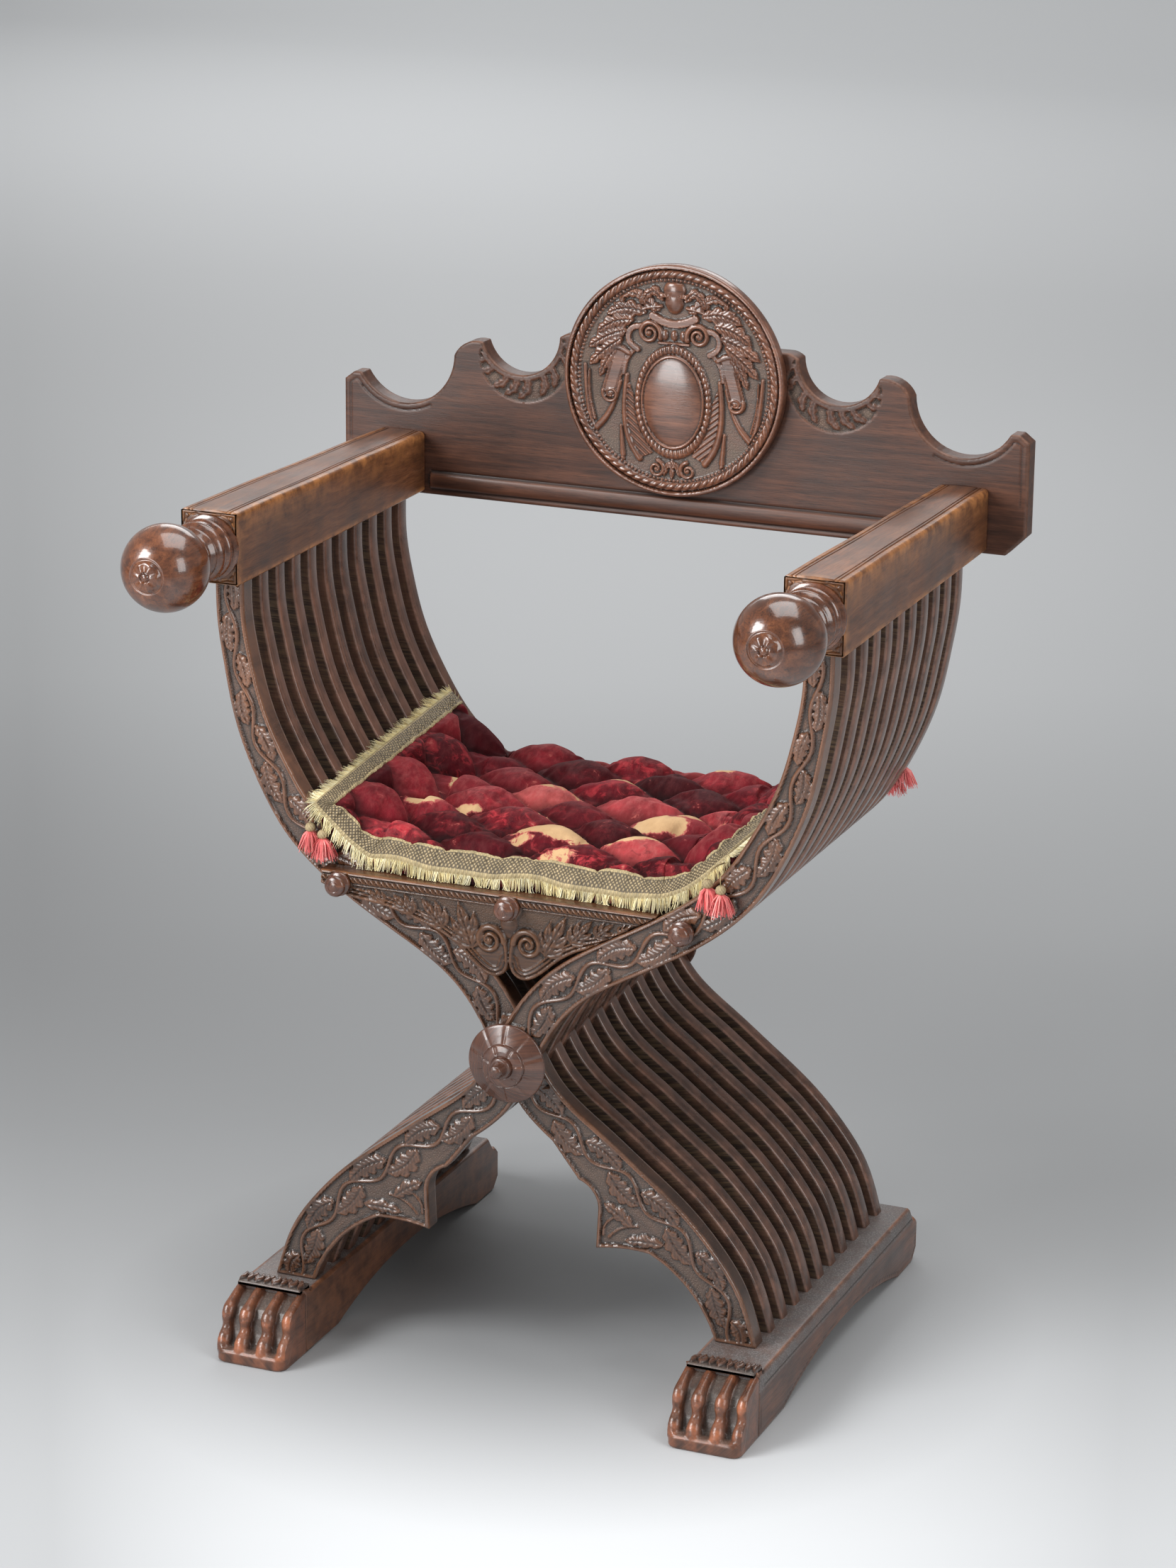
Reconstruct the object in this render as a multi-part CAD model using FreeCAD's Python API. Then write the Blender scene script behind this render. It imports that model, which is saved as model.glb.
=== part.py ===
import FreeCAD, Part
import math
import os

# Savonarola chair: two interleaved frames of curved staves that cross on one pivot rod.
# X runs to the sitter's left as seen from the front, Y runs to the back, Z is up.
# Frame A holds the staves from the right arm to the left runner, frame B its mirror image.

os.makedirs("parts", exist_ok=True)
Vec = FreeCAD.Vector

# stave layers, counted from the front
stavePairs = 11
carvedThickness = 20.0
plainThickness = 15.1
layerGap = 0.4
frontFaceY = -130.0

# main heights and reaches
hubHeight = 288.0
runnerTop = 56.5
armUnderside = 679.0
armCentreX = 267.5
footCentreX = 202.3
waistWidth = 38.0
curveSag = 0.8

# arms
armWidthFront = 53.0
armWidthRear = 46.0
armHeightFront = 63.0
armHeightRear = 55.0
armLead = 13.0
armTail = 17.6
armEdgeRadius = 4.0

# joinery
tenonWidth = 14.0
armTenonDepth = 18.0
runnerTenonDepth = 14.0
tenonClear = 0.1
tenonEndClear = 1.0
runClear = 0.08
bodyClear = 0.4
overrun = 2.0
ringSides = 8

# pivot and its bosses
pivotRadius = 7.0
pivotSeat = 8.0
bossRadius = 35.0
bossRim = 3.0
bossRingRadius = 19.0
bossRingHeight = 11.0
bossCollarRadius = 8.5
bossCollarHeight = 18.0
bossNubRadius = 6.0
bossHeight = 28.0

# seat rods and slats
seatPinReachShare = 0.583178
seatPinRiseShare = 0.35294
seatPinX = seatPinReachShare * armCentreX
seatPinZ = hubHeight + seatPinRiseShare * (armUnderside - hubHeight)
seatPinCover = 10.0
seatPinRadius = 5.0
seatTop = seatPinZ + seatPinCover
slatDepth = 28.0
slatNose = 16.0
slatNoseCut = 14.0
slatRestClear = 0.5
notchBack = 1.2
notchReach = 37.0
notchFloor = 1.0
knobRadius = 9.5
knobHeight = 13.0

# apron
apronNose = 18.0
apronEndX = seatPinX + apronNose
apronLobeX = 17.0
apronLobeRadius = 14.0
apronFall = 59.0
apronLobeZ = seatTop - apronFall

# runners
runnerInnerX = 177.0
runnerOuterX = 243.0
runnerFrontY = -206.0
runnerRearY = 257.0
runnerStep = 11.0
runnerStepHeight = 42.0
archFrontY = -95.0
archRearY = 205.0
archRise = 22.0
pawBackY = -160.0
pawTop = 62.0
plinthHeight = 9.0
toeRadius = 9.2
toeCount = 4
toeKnuckleY = -181.0
toeKnuckleZ = 47.0
toePadY = -193.0
toePadZ = 17.0

# back board and roundel
boardThickness = 20.0
boardOverhang = 57.5
boardHalf = armCentreX + boardOverhang
boardDrop = 3.0
boardBottom = armUnderside - boardDrop
boardSide = 100.0
boardCorner = boardBottom + boardSide
boardChamfer = 18.0
boardTipRise = 107.0
boardTip = boardBottom + boardTipRise
boardPeakRise = 145.0
boardPeak = boardBottom + boardPeakRise
boardShoulderRise = 160.0
boardShoulder = boardBottom + boardShoulderRise
boardTenonWidth = 18.0
boardTenonHeight = 30.0
boardTenonDepth = 12.0
beadEndClear = 2.0
beadHalf = armCentreX - armWidthFront / 2 - beadEndClear
beadRise = 6.0
beadHeight = 15.0
beadBottom = boardBottom + beadRise
beadTop = beadBottom + beadHeight
beadProud = 3.0
roundelRadius = 104.0
roundelRise = 128.0
roundelCentreZ = boardBottom + roundelRise
roundelThickness = 12.0
roundelRim = 9.0
roundelRecess = 4.0
roundelBossRadii = (46.0, 33.0)
roundelBossRise = 3.5

# turned finials
ballRadius = 37.0
ballReach = 78.0
finialTenonRadius = 11.0
finialTenonDepth = 30.0
ballSteps = 6

# cushion and tassels
cushionFrontY = -124.0
cushionRearY = 196.0
cushionClear = 0.8
cushionThickness = 27.0
cushionEdge = 13.0
cushionSideShare = 0.54987
cushionSideZ = hubHeight + cushionSideShare * (armUnderside - hubHeight)
cushionFlatShare = 0.79487
cushionFlatX = cushionFlatShare * seatPinX
cushionDrawIn = 5.0
cushionMidShare = 0.45
cushionFoldShare = 0.86
cushionCrownShare = 1.06
cushionThinShare = 0.30
tuftColumns = 7
tuftRows = 6
tuftRadius = 13.0
tuftDepth = 4.5
tasselLength = 24.0
tasselRadius = 6.0
tasselCordRadius = 1.2
tasselDrop = 7.0
tasselClear = 0.2
tasselReachShares = (0.7364, 0.7028)
tasselDrops = (3.0, 11.0)
tasselSideways = 32.0

# centre line of a stave: (share of the reach, share of the rise or drop, share of the waist width)
upperShares = (
    (0.049, 0.061, 1.00), (0.180, 0.182, 0.97), (0.360, 0.266, 0.97), (0.603, 0.366, 0.98),
    (0.764, 0.465, 0.96), (0.854, 0.563, 0.90), (0.936, 0.693, 0.79), (0.974, 0.803, 0.71),
    (0.997, 0.900, 0.68), (1.000, 1.000, 0.68))
lowerShares = (
    (0.094, 0.156, 1.00), (0.326, 0.324, 0.97), (0.477, 0.425, 0.97), (0.692, 0.575, 0.97),
    (0.840, 0.713, 0.96), (0.927, 0.825, 0.96), (0.969, 0.916, 0.96), (1.000, 1.000, 0.96))
# turned stem of a finial: shares of the ball's radius and of its reach in front of the arm
finialShares = ((0.73, 0.00), (0.73, 0.12), (0.51, 0.19), (0.66, 0.30), (0.51, 0.42))
# knob of a seat rod: shares of its radius and of its height
knobShares = ((1.10, 0.00), (1.10, 0.30), (0.70, 0.36), (1.00, 0.62), (0.40, 1.00))
# a toe from its root to its tip: share of the way from knuckle to pad, share of its radius
toeShares = ((-0.28, 0.45), (0.00, 1.00), (0.50, 0.88), (1.00, 1.00), (1.30, 0.55))
# a tassel from its knot to the end of its skirt: shares of its drop and of its radius
tasselShares = ((0.00, 0.25), (0.17, 0.75), (0.33, 0.40), (1.00, 1.00))
# inner bracket of the two carved staves, as shares of the foot reach and of the drop below the hub
bracketShares = (
    (0.060, 0.205), (0.282, 0.454), (0.344, 0.490), (0.371, 0.566), (0.363, 0.713),
    (0.500, 0.697), (0.603, 0.700), (0.760, 0.795), (0.905, 0.999))
bracketBackShares = ((1.000, 0.960), (0.750, 0.560), (0.400, 0.320), (0.110, 0.100))
# lower contour of the apron, as shares of its end reach and of the fall from the seat top to the lobes
apronShares = ((0.23, 0.64), (0.42, 0.50), (0.62, 0.36), (0.84, 0.31), (1.00, 0.17))
# cushion sections: shares of its length, of the drawing-in and of the thinning
cushionShares = ((0.0, 1.0, 1.0), (0.07, 0.5, 0.35), (0.5, 0.0, 0.0), (0.93, 0.5, 0.35), (1.0, 1.0, 1.0))
# outline of the back board above its corners: shares of its half width
tipShare = 0.972
tipInnerShare = 0.948
scallopShare = 0.797
scallopDropShare = 0.43
innerDropShare = 0.60
peakLowShare = 0.80
peakMidLowShare = 0.22
shoulderLowShare = 0.25
shoulderMidLowShare = 0.08
peakShare = 0.665
peakMidShare = 0.638
peakInnerShare = 0.578
innerScallopShare = 0.462
shoulderShare = 0.348
shoulderInnerShare = 0.318


def save(name, shape):
    """Write one node to its own file."""
    shape.exportStep("parts/" + name + ".step")


def box(x0, x1, y0, y1, z0, z1):
    return Part.makeBox(x1 - x0, y1 - y0, z1 - z0, Vec(x0, y0, z0))


def rodY(x, z, radius, y0, y1):
    return Part.makeCylinder(radius, y1 - y0, Vec(x, y0, z), Vec(0, 1, 0))


def mirrorX(shape):
    return shape.mirror(Vec(0, 0, 0), Vec(1, 0, 0))


def moved(shape, dx, dy, dz):
    copy = shape.copy()
    copy.translate(Vec(dx, dy, dz))
    return copy


def arc(a, b, c):
    return Part.Arc(a, b, c).toShape()


def line(a, b):
    return Part.LineSegment(a, b).toShape()


def prism(edges, y0, y1):
    """Extrude a closed outline that lies in the XZ plane at Y zero."""
    face = Part.Face(Part.Wire(edges))
    solid = face.extrude(Vec(0, y1 - y0, 0))
    solid.translate(Vec(0, y0, 0))
    return solid


def polygonEdges(points):
    closed = list(points) + [points[0]]
    return [line(a, b) for a, b in zip(closed, closed[1:])]


def turned(profile, x, y, z, direction):
    """Revolve (radius, distance) points about an axis along Y, distances counted along direction."""
    points = [Vec(x + radius, y + direction * along, z) for radius, along in profile]
    face = Part.Face(Part.makePolygon(points + [points[0]]))
    return face.revolve(Vec(x, y, z), Vec(0, 1, 0), 360)


def closedSolid(faces):
    solid = Part.makeSolid(Part.makeShell(faces))
    if solid.Volume < 0:
        solid.reverse()
    return solid


def ringWire(centre, direction, radius):
    """Regular polygon about a centre, square to a direction."""
    side = direction.cross(Vec(0, 0, 1))
    if side.Length < runClear:
        side = Vec(1, 0, 0)
    side.normalize()
    other = side.cross(direction)
    other.normalize()
    points = []
    for index in range(ringSides):
        angle = 2 * math.pi * index / ringSides
        points.append(centre + side * (radius * math.cos(angle)) + other * (radius * math.sin(angle)))
    return Part.makePolygon(points + [points[0]])


def facetedLoft(stations):
    """Solid with flat facets through stations of centre, direction and radius."""
    return Part.makeLoft([ringWire(*station) for station in stations], True, True)


# layers

def layerFronts():
    """Front faces of the A layers and of the B layers."""
    aFronts = [frontFaceY]
    bFronts = [frontFaceY + carvedThickness + layerGap]
    front = bFronts[0] + carvedThickness + layerGap
    for pair in range(1, stavePairs):
        aFronts.append(front)
        bFronts.append(front + plainThickness + layerGap)
        front += 2 * (plainThickness + layerGap)
    return aFronts, bFronts


aFronts, bFronts = layerFronts()
stackRear = bFronts[-1] + plainThickness
armFrontY = frontFaceY - armLead
boardFrontY = stackRear + armTail
armAxisZ = armUnderside + armHeightFront / 2


def thicknessOf(index):
    return carvedThickness if index == 0 else plainThickness


# staves of frame A, drawn at Y zero and moved to their layer

def centreStations():
    """Centre points and widths of a stave from the arm down to the runner."""
    rise = armUnderside - hubHeight
    drop = hubHeight - runnerTop
    stations = []
    for reachShare, riseShare, widthShare in reversed(upperShares):
        point = Vec(reachShare * armCentreX, 0, hubHeight + riseShare * rise)
        stations.append((point, widthShare * waistWidth))
    for reachShare, dropShare, widthShare in lowerShares:
        point = Vec(-reachShare * footCentreX, 0, hubHeight - dropShare * drop)
        stations.append((point, widthShare * waistWidth))
    return stations


def staveEdges(extra):
    """Right-hand and left-hand edge points of a stave widened by extra on each side."""
    stations = centreStations()
    rightSide = []
    leftSide = []
    for index, (point, width) in enumerate(stations):
        if index == 0 or index == len(stations) - 1:
            along = Vec(0, 0, -1)
        else:
            along = stations[index + 1][0] - stations[index - 1][0]
            along.normalize()
        normal = Vec(-along.z, 0, along.x)
        offset = normal * (width / 2 + extra)
        rightSide.append(point + offset)
        leftSide.append(point - offset)
    return rightSide, leftSide


def smoothCurve(points):
    curve = Part.BSplineCurve()
    curve.interpolate(points)
    return curve


def smoothLines(points):
    """A smooth line through points, made of short straight edges."""
    places = smoothCurve(points).discretize(Deflection=curveSag)
    return [line(a, b) for a, b in zip(places, places[1:])]


def staveSolid(thickness, extra):
    """Body of a stave between the arm's underside and the runner's top."""
    rightSide, leftSide = staveEdges(extra)
    edges = smoothLines(rightSide) + [line(rightSide[-1], leftSide[-1])]
    edges += smoothLines(list(reversed(leftSide))) + [line(leftSide[0], rightSide[0])]
    return prism(edges, 0, thickness)


def bracketSolid(thickness):
    """Cusped bracket on the inner side of a carved stave's lower limb."""
    drop = hubHeight - runnerTop

    def place(shares):
        return Vec(-shares[0] * footCentreX, 0, hubHeight - shares[1] * drop)

    start, bend, neck, side, tip, shelf, archStart, archMid, archEnd = [place(s) for s in bracketShares]
    back = [place(s) for s in bracketBackShares]
    edges = [line(start, bend), arc(bend, neck, side), line(side, tip), arc(tip, shelf, archStart),
             arc(archStart, archMid, archEnd)]
    chain = [archEnd] + back + [start]
    edges += [line(a, b) for a, b in zip(chain, chain[1:])]
    return prism(edges, 0, thickness)


def staveTenons(thickness):
    half = tenonWidth / 2
    top = box(armCentreX - half, armCentreX + half, 0, thickness,
              armUnderside, armUnderside + armTenonDepth)
    foot = box(-footCentreX - half, -footCentreX + half, 0, thickness,
               runnerTop - runnerTenonDepth, runnerTop)
    return [top, foot]


def makeStave(thickness, carved):
    """A whole frame A stave with its tenons, pivot bore and seat rod bore."""
    stave = staveSolid(thickness, 0)
    parts = staveTenons(thickness)
    if carved:
        parts.append(bracketSolid(thickness))
    stave = stave.fuse(parts).removeSplitter()
    bores = [rodY(0, hubHeight, pivotRadius + runClear, -overrun, thickness + overrun),
             rodY(seatPinX, seatPinZ, seatPinRadius + runClear, -overrun, thickness + overrun)]
    return stave.cut(bores)


def makeStaves():
    """Save all staves of both frames."""
    plain = makeStave(plainThickness, False)
    carved = makeStave(carvedThickness, True)
    for index in range(stavePairs):
        source = carved if index == 0 else plain
        save("stave_a_%02d" % (index + 1), moved(source, 0, aFronts[index], 0))
        save("stave_b_%02d" % (index + 1), moved(mirrorX(source), 0, bFronts[index], 0))


# arms and finials

def mortises(fronts, x, z0, z1):
    """Slots for the stave tenons, a little larger than the tenons."""
    half = tenonWidth / 2 + tenonClear
    cuts = []
    for index, front in enumerate(fronts):
        y1 = front + thicknessOf(index) + tenonClear
        cuts.append(box(x - half, x + half, front - tenonClear, y1, z0, z1))
    return cuts


def armSection(y, width, height):
    """Corner points of an arm's cross-section, all on one plane across Y."""
    half = width / 2
    return [Vec(armCentreX - half, y, armUnderside), Vec(armCentreX + half, y, armUnderside),
            Vec(armCentreX + half, y, armUnderside + height),
            Vec(armCentreX - half, y, armUnderside + height)]


def taperedBlock(front, rear):
    """Solid with flat faces between two four-cornered sections."""
    faces = [front, rear]
    for index in range(4):
        after = (index + 1) % 4
        faces.append([front[index], front[after], rear[after], rear[index]])
    return closedSolid([Part.Face(Part.makePolygon(f + [f[0]])) for f in faces])


def makeArm(fronts):
    """Tapered arm on the right, without the board's mortise."""
    front = armSection(armFrontY, armWidthFront, armHeightFront)
    rear = armSection(boardFrontY - bodyClear, armWidthRear, armHeightRear)
    arm = taperedBlock(front, rear)
    longTop = []
    for edge in arm.Edges:
        ends = [vertex.Point for vertex in edge.Vertexes]
        isLong = abs(ends[0].y - ends[1].y) > armLead
        isHigh = min(ends[0].z, ends[1].z) > armUnderside + armHeightRear / 2
        if isLong and isHigh:
            longTop.append(edge)
    arm = arm.makeFillet(armEdgeRadius, longTop)
    cuts = mortises(fronts, armCentreX, armUnderside - overrun,
                    armUnderside + armTenonDepth + tenonEndClear)
    cuts.append(rodY(armCentreX, armAxisZ, finialTenonRadius + tenonClear, armFrontY - overrun,
                     armFrontY + finialTenonDepth + tenonEndClear))
    return arm.cut(cuts)


def makeArms():
    rightArm = makeArm(aFronts)
    half = boardTenonWidth / 2 + runClear
    halfHeight = boardTenonHeight / 2 + runClear
    midZ = armUnderside + armHeightRear / 2
    slot = box(armCentreX - half, armCentreX + half,
               boardFrontY - boardTenonDepth - tenonEndClear, boardFrontY + overrun,
               midZ - halfHeight, midZ + halfHeight)
    save("right_arm", rightArm.cut(slot))
    save("left_arm", mirrorX(makeArm(bFronts)))


def makeFinial():
    """Turned ball with its ring collar and the tenon that enters the arm."""
    profile = [(0, -finialTenonDepth), (finialTenonRadius, -finialTenonDepth), (finialTenonRadius, 0)]
    profile += [(radius * ballRadius, along * ballReach) for radius, along in finialShares]
    start = math.asin(profile[-1][0] / ballRadius)
    for step in range(ballSteps + 1):
        angle = start + (math.pi - start) * step / ballSteps
        profile.append((ballRadius * math.sin(angle), ballReach - ballRadius * math.cos(angle)))
    return turned(profile, armCentreX, armFrontY, armAxisZ, -1)


def makeFinials():
    finial = makeFinial()
    save("right_finial", finial)
    save("left_finial", mirrorX(finial))


# runners with lion paws

def makeRunner(fronts):
    """A runner drawn on the left, with mortises for the given stave layers."""
    archMidY = (archFrontY + archRearY) / 2
    x0 = -runnerOuterX
    stepY = runnerRearY - runnerStep
    shoulderZ = pawTop - toeRadius
    outline = [
        line(Vec(x0, pawBackY, 0), Vec(x0, archFrontY, 0)),
        arc(Vec(x0, archFrontY, 0), Vec(x0, archMidY, archRise), Vec(x0, archRearY, 0)),
        line(Vec(x0, archRearY, 0), Vec(x0, stepY, 0)),
        line(Vec(x0, stepY, 0), Vec(x0, runnerRearY, runnerStep)),
        line(Vec(x0, runnerRearY, runnerStep), Vec(x0, runnerRearY, runnerStepHeight - runnerStep / 2)),
        line(Vec(x0, runnerRearY, runnerStepHeight - runnerStep / 2),
             Vec(x0, runnerRearY - runnerStep / 2, runnerStepHeight)),
        line(Vec(x0, runnerRearY - runnerStep / 2, runnerStepHeight), Vec(x0, stepY, runnerStepHeight)),
        line(Vec(x0, stepY, runnerStepHeight), Vec(x0, stepY - runnerStep, runnerTop)),
        line(Vec(x0, stepY - runnerStep, runnerTop), Vec(x0, pawBackY + runnerStep, runnerTop)),
        line(Vec(x0, pawBackY + runnerStep, runnerTop), Vec(x0, pawBackY, pawTop)),
        line(Vec(x0, pawBackY, pawTop), Vec(x0, toeKnuckleY, pawTop)),
        line(Vec(x0, toeKnuckleY, pawTop), Vec(x0, toeKnuckleY - toeRadius / 2, shoulderZ)),
        line(Vec(x0, toeKnuckleY - toeRadius / 2, shoulderZ), Vec(x0, toePadY, plinthHeight)),
        line(Vec(x0, toePadY, plinthHeight), Vec(x0, runnerFrontY, plinthHeight)),
        line(Vec(x0, runnerFrontY, plinthHeight), Vec(x0, runnerFrontY, 0)),
        line(Vec(x0, runnerFrontY, 0), Vec(x0, pawBackY, 0))]
    body = Part.Face(Part.Wire(outline)).extrude(Vec(runnerOuterX - runnerInnerX, 0, 0))
    pitch = (runnerOuterX - runnerInnerX) / toeCount
    toes = []
    for index in range(toeCount):
        x = x0 + pitch * (index + 0.5)
        knuckle = Vec(x, toeKnuckleY, toeKnuckleZ)
        axis = Vec(x, toePadY, toePadZ) - knuckle
        toes.append(facetedLoft([(knuckle + axis * along, axis, radius * toeRadius)
                                 for along, radius in toeShares]))
    body = body.fuse(toes)
    cuts = mortises(fronts, -footCentreX, runnerTop - runnerTenonDepth - tenonEndClear,
                    runnerTop + overrun)
    return body.cut(cuts)


def makeRunners():
    save("left_runner", makeRunner(aFronts))
    save("right_runner", mirrorX(makeRunner(bFronts)))


# pivot rod, bosses and seat rods

def makePivot():
    rodEnd = stackRear + bodyClear + pivotSeat
    save("pivot_rod", rodY(0, hubHeight, pivotRadius, frontFaceY - pivotSeat, rodEnd))
    bore = pivotRadius + tenonClear
    boreEnd = pivotSeat + tenonEndClear
    profile = [(bore, 0), (bossRadius, 0), (bossRadius, bossRim), (bossRingRadius, bossRingHeight),
               (bossCollarRadius, bossRingHeight), (bossCollarRadius, bossCollarHeight),
               (bossNubRadius, bossCollarHeight), (bossNubRadius, bossHeight),
               (0, bossHeight), (0, boreEnd), (bore, boreEnd)]
    save("front_boss", turned(profile, 0, 0, hubHeight, -1).translated(Vec(0, frontFaceY, 0)))
    rear = turned(profile, 0, 0, hubHeight, 1)
    save("rear_boss", rear.translated(Vec(0, stackRear + bodyClear, 0)))


def seatRod(x, rearY):
    """Seat rod with a turned knob as its front head."""
    rod = rodY(x, seatPinZ, seatPinRadius, frontFaceY, rearY)
    profile = [(0, 0)] + [(radius * knobRadius, along * knobHeight) for radius, along in knobShares]
    knob = turned(profile + [(0, knobHeight)], x, frontFaceY, seatPinZ, -1)
    return rod.fuse(knob)


def makeSeatRods():
    save("left_seat_rod", seatRod(-seatPinX, bFronts[-1] + plainThickness))
    save("right_seat_rod", seatRod(seatPinX, bFronts[-1] + plainThickness))
    save("centre_seat_rod", seatRod(0, aFronts[-1] + plainThickness))


# seat slats

def slatOutline():
    """Left-hinged slat in the XZ plane, before its far end is fitted to the stave."""
    low = seatTop - slatDepth
    endX = -seatPinX - slatNose
    return [Vec(endX, 0, seatTop), Vec(seatPinX, 0, seatTop), Vec(seatPinX, 0, low),
            Vec(endX + slatNoseCut * 2, 0, low), Vec(endX, 0, low + slatNoseCut)]


def fitToStave(slat, thickness):
    """Trim the far end of a slat to rest on the stave of the same layer."""
    stave = moved(staveSolid(thickness + 2 * overrun, slatRestClear), 0, -overrun, 0)
    beyond = box(seatPinX - slatNose, seatPinX + slatNose, -overrun, thickness + overrun,
                 seatTop - slatDepth - overrun, seatTop + overrun)
    pieces = slat.cut([stave, beyond]).Solids
    return max(pieces, key=lambda solid: solid.Volume)


def hingeBore(thickness):
    return rodY(-seatPinX, seatPinZ, seatPinRadius + runClear, -overrun, thickness + overrun)


def leftSlat():
    slat = prism(polygonEdges(slatOutline()), 0, plainThickness)
    slat = fitToStave(slat, plainThickness)
    centre = rodY(0, seatPinZ, seatPinRadius + tenonClear, -overrun, plainThickness + overrun)
    return slat.cut([hingeBore(plainThickness), centre])


def rightSlat(thickness):
    """Right-hinged slat, drawn hinged on the left, with an open notch for the centre rod."""
    slat = prism(polygonEdges(slatOutline()), 0, thickness)
    slat = fitToStave(slat, thickness)
    back = seatPinRadius + notchBack
    notch = box(-notchReach, back, -overrun, thickness + overrun,
                seatPinZ - seatPinRadius - notchFloor, seatTop + overrun)
    return mirrorX(slat.cut([hingeBore(thickness), notch]))


def apronSolid():
    """Front slat of the left leaf with the shaped lower edge and its two lobes."""
    fall = seatTop - apronLobeZ
    halfPoints = [Vec(x * apronEndX, 0, seatTop - z * fall) for x, z in apronShares]
    lobeOut = Vec(apronLobeX + apronLobeRadius, 0, apronLobeZ)
    lobeLow = Vec(apronLobeX, 0, apronLobeZ - apronLobeRadius)
    notch = Vec(0, 0, apronLobeZ)
    rightChain = [lobeOut] + halfPoints
    edges = [arc(notch, lobeLow, lobeOut)]
    edges += smoothLines(rightChain)
    topRight = Vec(apronEndX, 0, seatTop)
    topLeft = Vec(-apronEndX, 0, seatTop)
    edges.append(line(rightChain[-1], topRight))
    edges.append(line(topRight, topLeft))
    leftChain = [Vec(-p.x, 0, p.z) for p in rightChain]
    edges.append(line(topLeft, leftChain[-1]))
    edges += smoothLines(list(reversed(leftChain)))
    edges.append(arc(leftChain[0], Vec(-lobeLow.x, 0, lobeLow.z), notch))
    apron = prism(edges, 0, carvedThickness)
    apron = fitToStave(apron, carvedThickness)
    centre = rodY(0, seatPinZ, seatPinRadius + tenonClear, -overrun, carvedThickness + overrun)
    return apron.cut([hingeBore(carvedThickness), centre])


def makeSlats():
    save("seat_apron", moved(apronSolid(), 0, aFronts[0], 0))
    left = leftSlat()
    right = rightSlat(plainThickness)
    for index in range(1, stavePairs):
        save("seat_slat_left_%02d" % (index + 1), moved(left, 0, aFronts[index], 0))
        save("seat_slat_right_%02d" % (index + 1), moved(right, 0, bFronts[index], 0))
    save("seat_slat_right_01", moved(rightSlat(carvedThickness), 0, bFronts[0], 0))


# back board with its bead, and the roundel

def boardOutline():
    """Outline of the back board at its front face, right half then mirrored."""
    half = boardHalf
    fall = boardPeak - boardBottom
    scallopZ = boardPeak - scallopDropShare * fall
    innerZ = boardPeak - innerDropShare * (boardPeak - boardCorner)
    right = [
        ("line", Vec(half - boardChamfer, 0, boardBottom)),
        ("line", Vec(half, 0, boardBottom + boardChamfer)),
        ("line", Vec(half, 0, boardCorner)),
        ("line", Vec(tipShare * half, 0, boardTip)),
        ("line", Vec(tipInnerShare * half, 0, boardTip)),
        ("arc", Vec(scallopShare * half, 0, scallopZ),
         Vec(peakShare * half, 0, boardPeak - boardChamfer * peakLowShare)),
        ("arc", Vec(peakMidShare * half, 0, boardPeak - boardChamfer * peakMidLowShare),
         Vec(peakInnerShare * half, 0, boardPeak)),
        ("arc", Vec(innerScallopShare * half, 0, innerZ),
         Vec(shoulderShare * half, 0, boardShoulder - boardChamfer * shoulderLowShare)),
        ("arc", Vec((shoulderShare + shoulderInnerShare) / 2 * half, 0, boardShoulder - boardChamfer * shoulderMidLowShare),
         Vec(shoulderInnerShare * half, 0, boardShoulder))]
    edges = []
    for sign in (1, -1):
        here = Vec(0, 0, boardBottom)
        for step in right:
            places = [Vec(sign * p.x, 0, p.z) for p in step[1:]]
            edges.append(line(here, places[0]) if step[0] == "line" else arc(here, places[0], places[1]))
            here = places[-1]
        edges.append(line(here, Vec(0, 0, boardShoulder)))
    return Part.__sortEdges__(edges)


def makeBoard():
    board = prism(boardOutline(), boardFrontY, boardFrontY + boardThickness)
    midZ = (beadBottom + beadTop) / 2
    section = [line(Vec(-beadHalf, boardFrontY, beadBottom), Vec(-beadHalf, boardFrontY, beadTop)),
               arc(Vec(-beadHalf, boardFrontY, beadTop), Vec(-beadHalf, boardFrontY - beadProud, midZ),
                   Vec(-beadHalf, boardFrontY, beadBottom))]
    bead = Part.Face(Part.Wire(section)).extrude(Vec(2 * beadHalf, 0, 0))
    tenonZ = armUnderside + armHeightRear / 2
    tenon = box(armCentreX - boardTenonWidth / 2, armCentreX + boardTenonWidth / 2,
                boardFrontY - boardTenonDepth, boardFrontY,
                tenonZ - boardTenonHeight / 2, tenonZ + boardTenonHeight / 2)
    save("back_board", board.fuse([bead, tenon]).removeSplitter())


def makeRoundel():
    """Carved disc on the board: a raised rim, a sunk ground and a domed oval field."""
    inner = roundelRadius - roundelRim
    top = roundelThickness
    ground = top - roundelRecess
    profile = [(0, 0), (roundelRadius, 0), (roundelRadius, top - roundelRecess / 2),
               (roundelRadius - roundelRim / 4, top), (inner + roundelRim / 4, top), (inner, ground), (0, ground)]
    disc = turned(profile, 0, boardFrontY, roundelCentreZ, -1)
    tall, wide = roundelBossRadii
    oval = Part.Ellipse(Vec(0, 0, 0), tall, wide).toShape()
    face = Part.Face(Part.Wire(oval))
    field = face.extrude(Vec(0, 0, roundelBossRise))
    field.rotate(Vec(0, 0, 0), Vec(0, 0, 1), 90)
    field.rotate(Vec(0, 0, 0), Vec(1, 0, 0), 90)
    field.translate(Vec(0, boardFrontY - ground, roundelCentreZ - roundelRim))
    save("roundel", disc.fuse(field).removeSplitter())


# cushion and tassels

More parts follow.
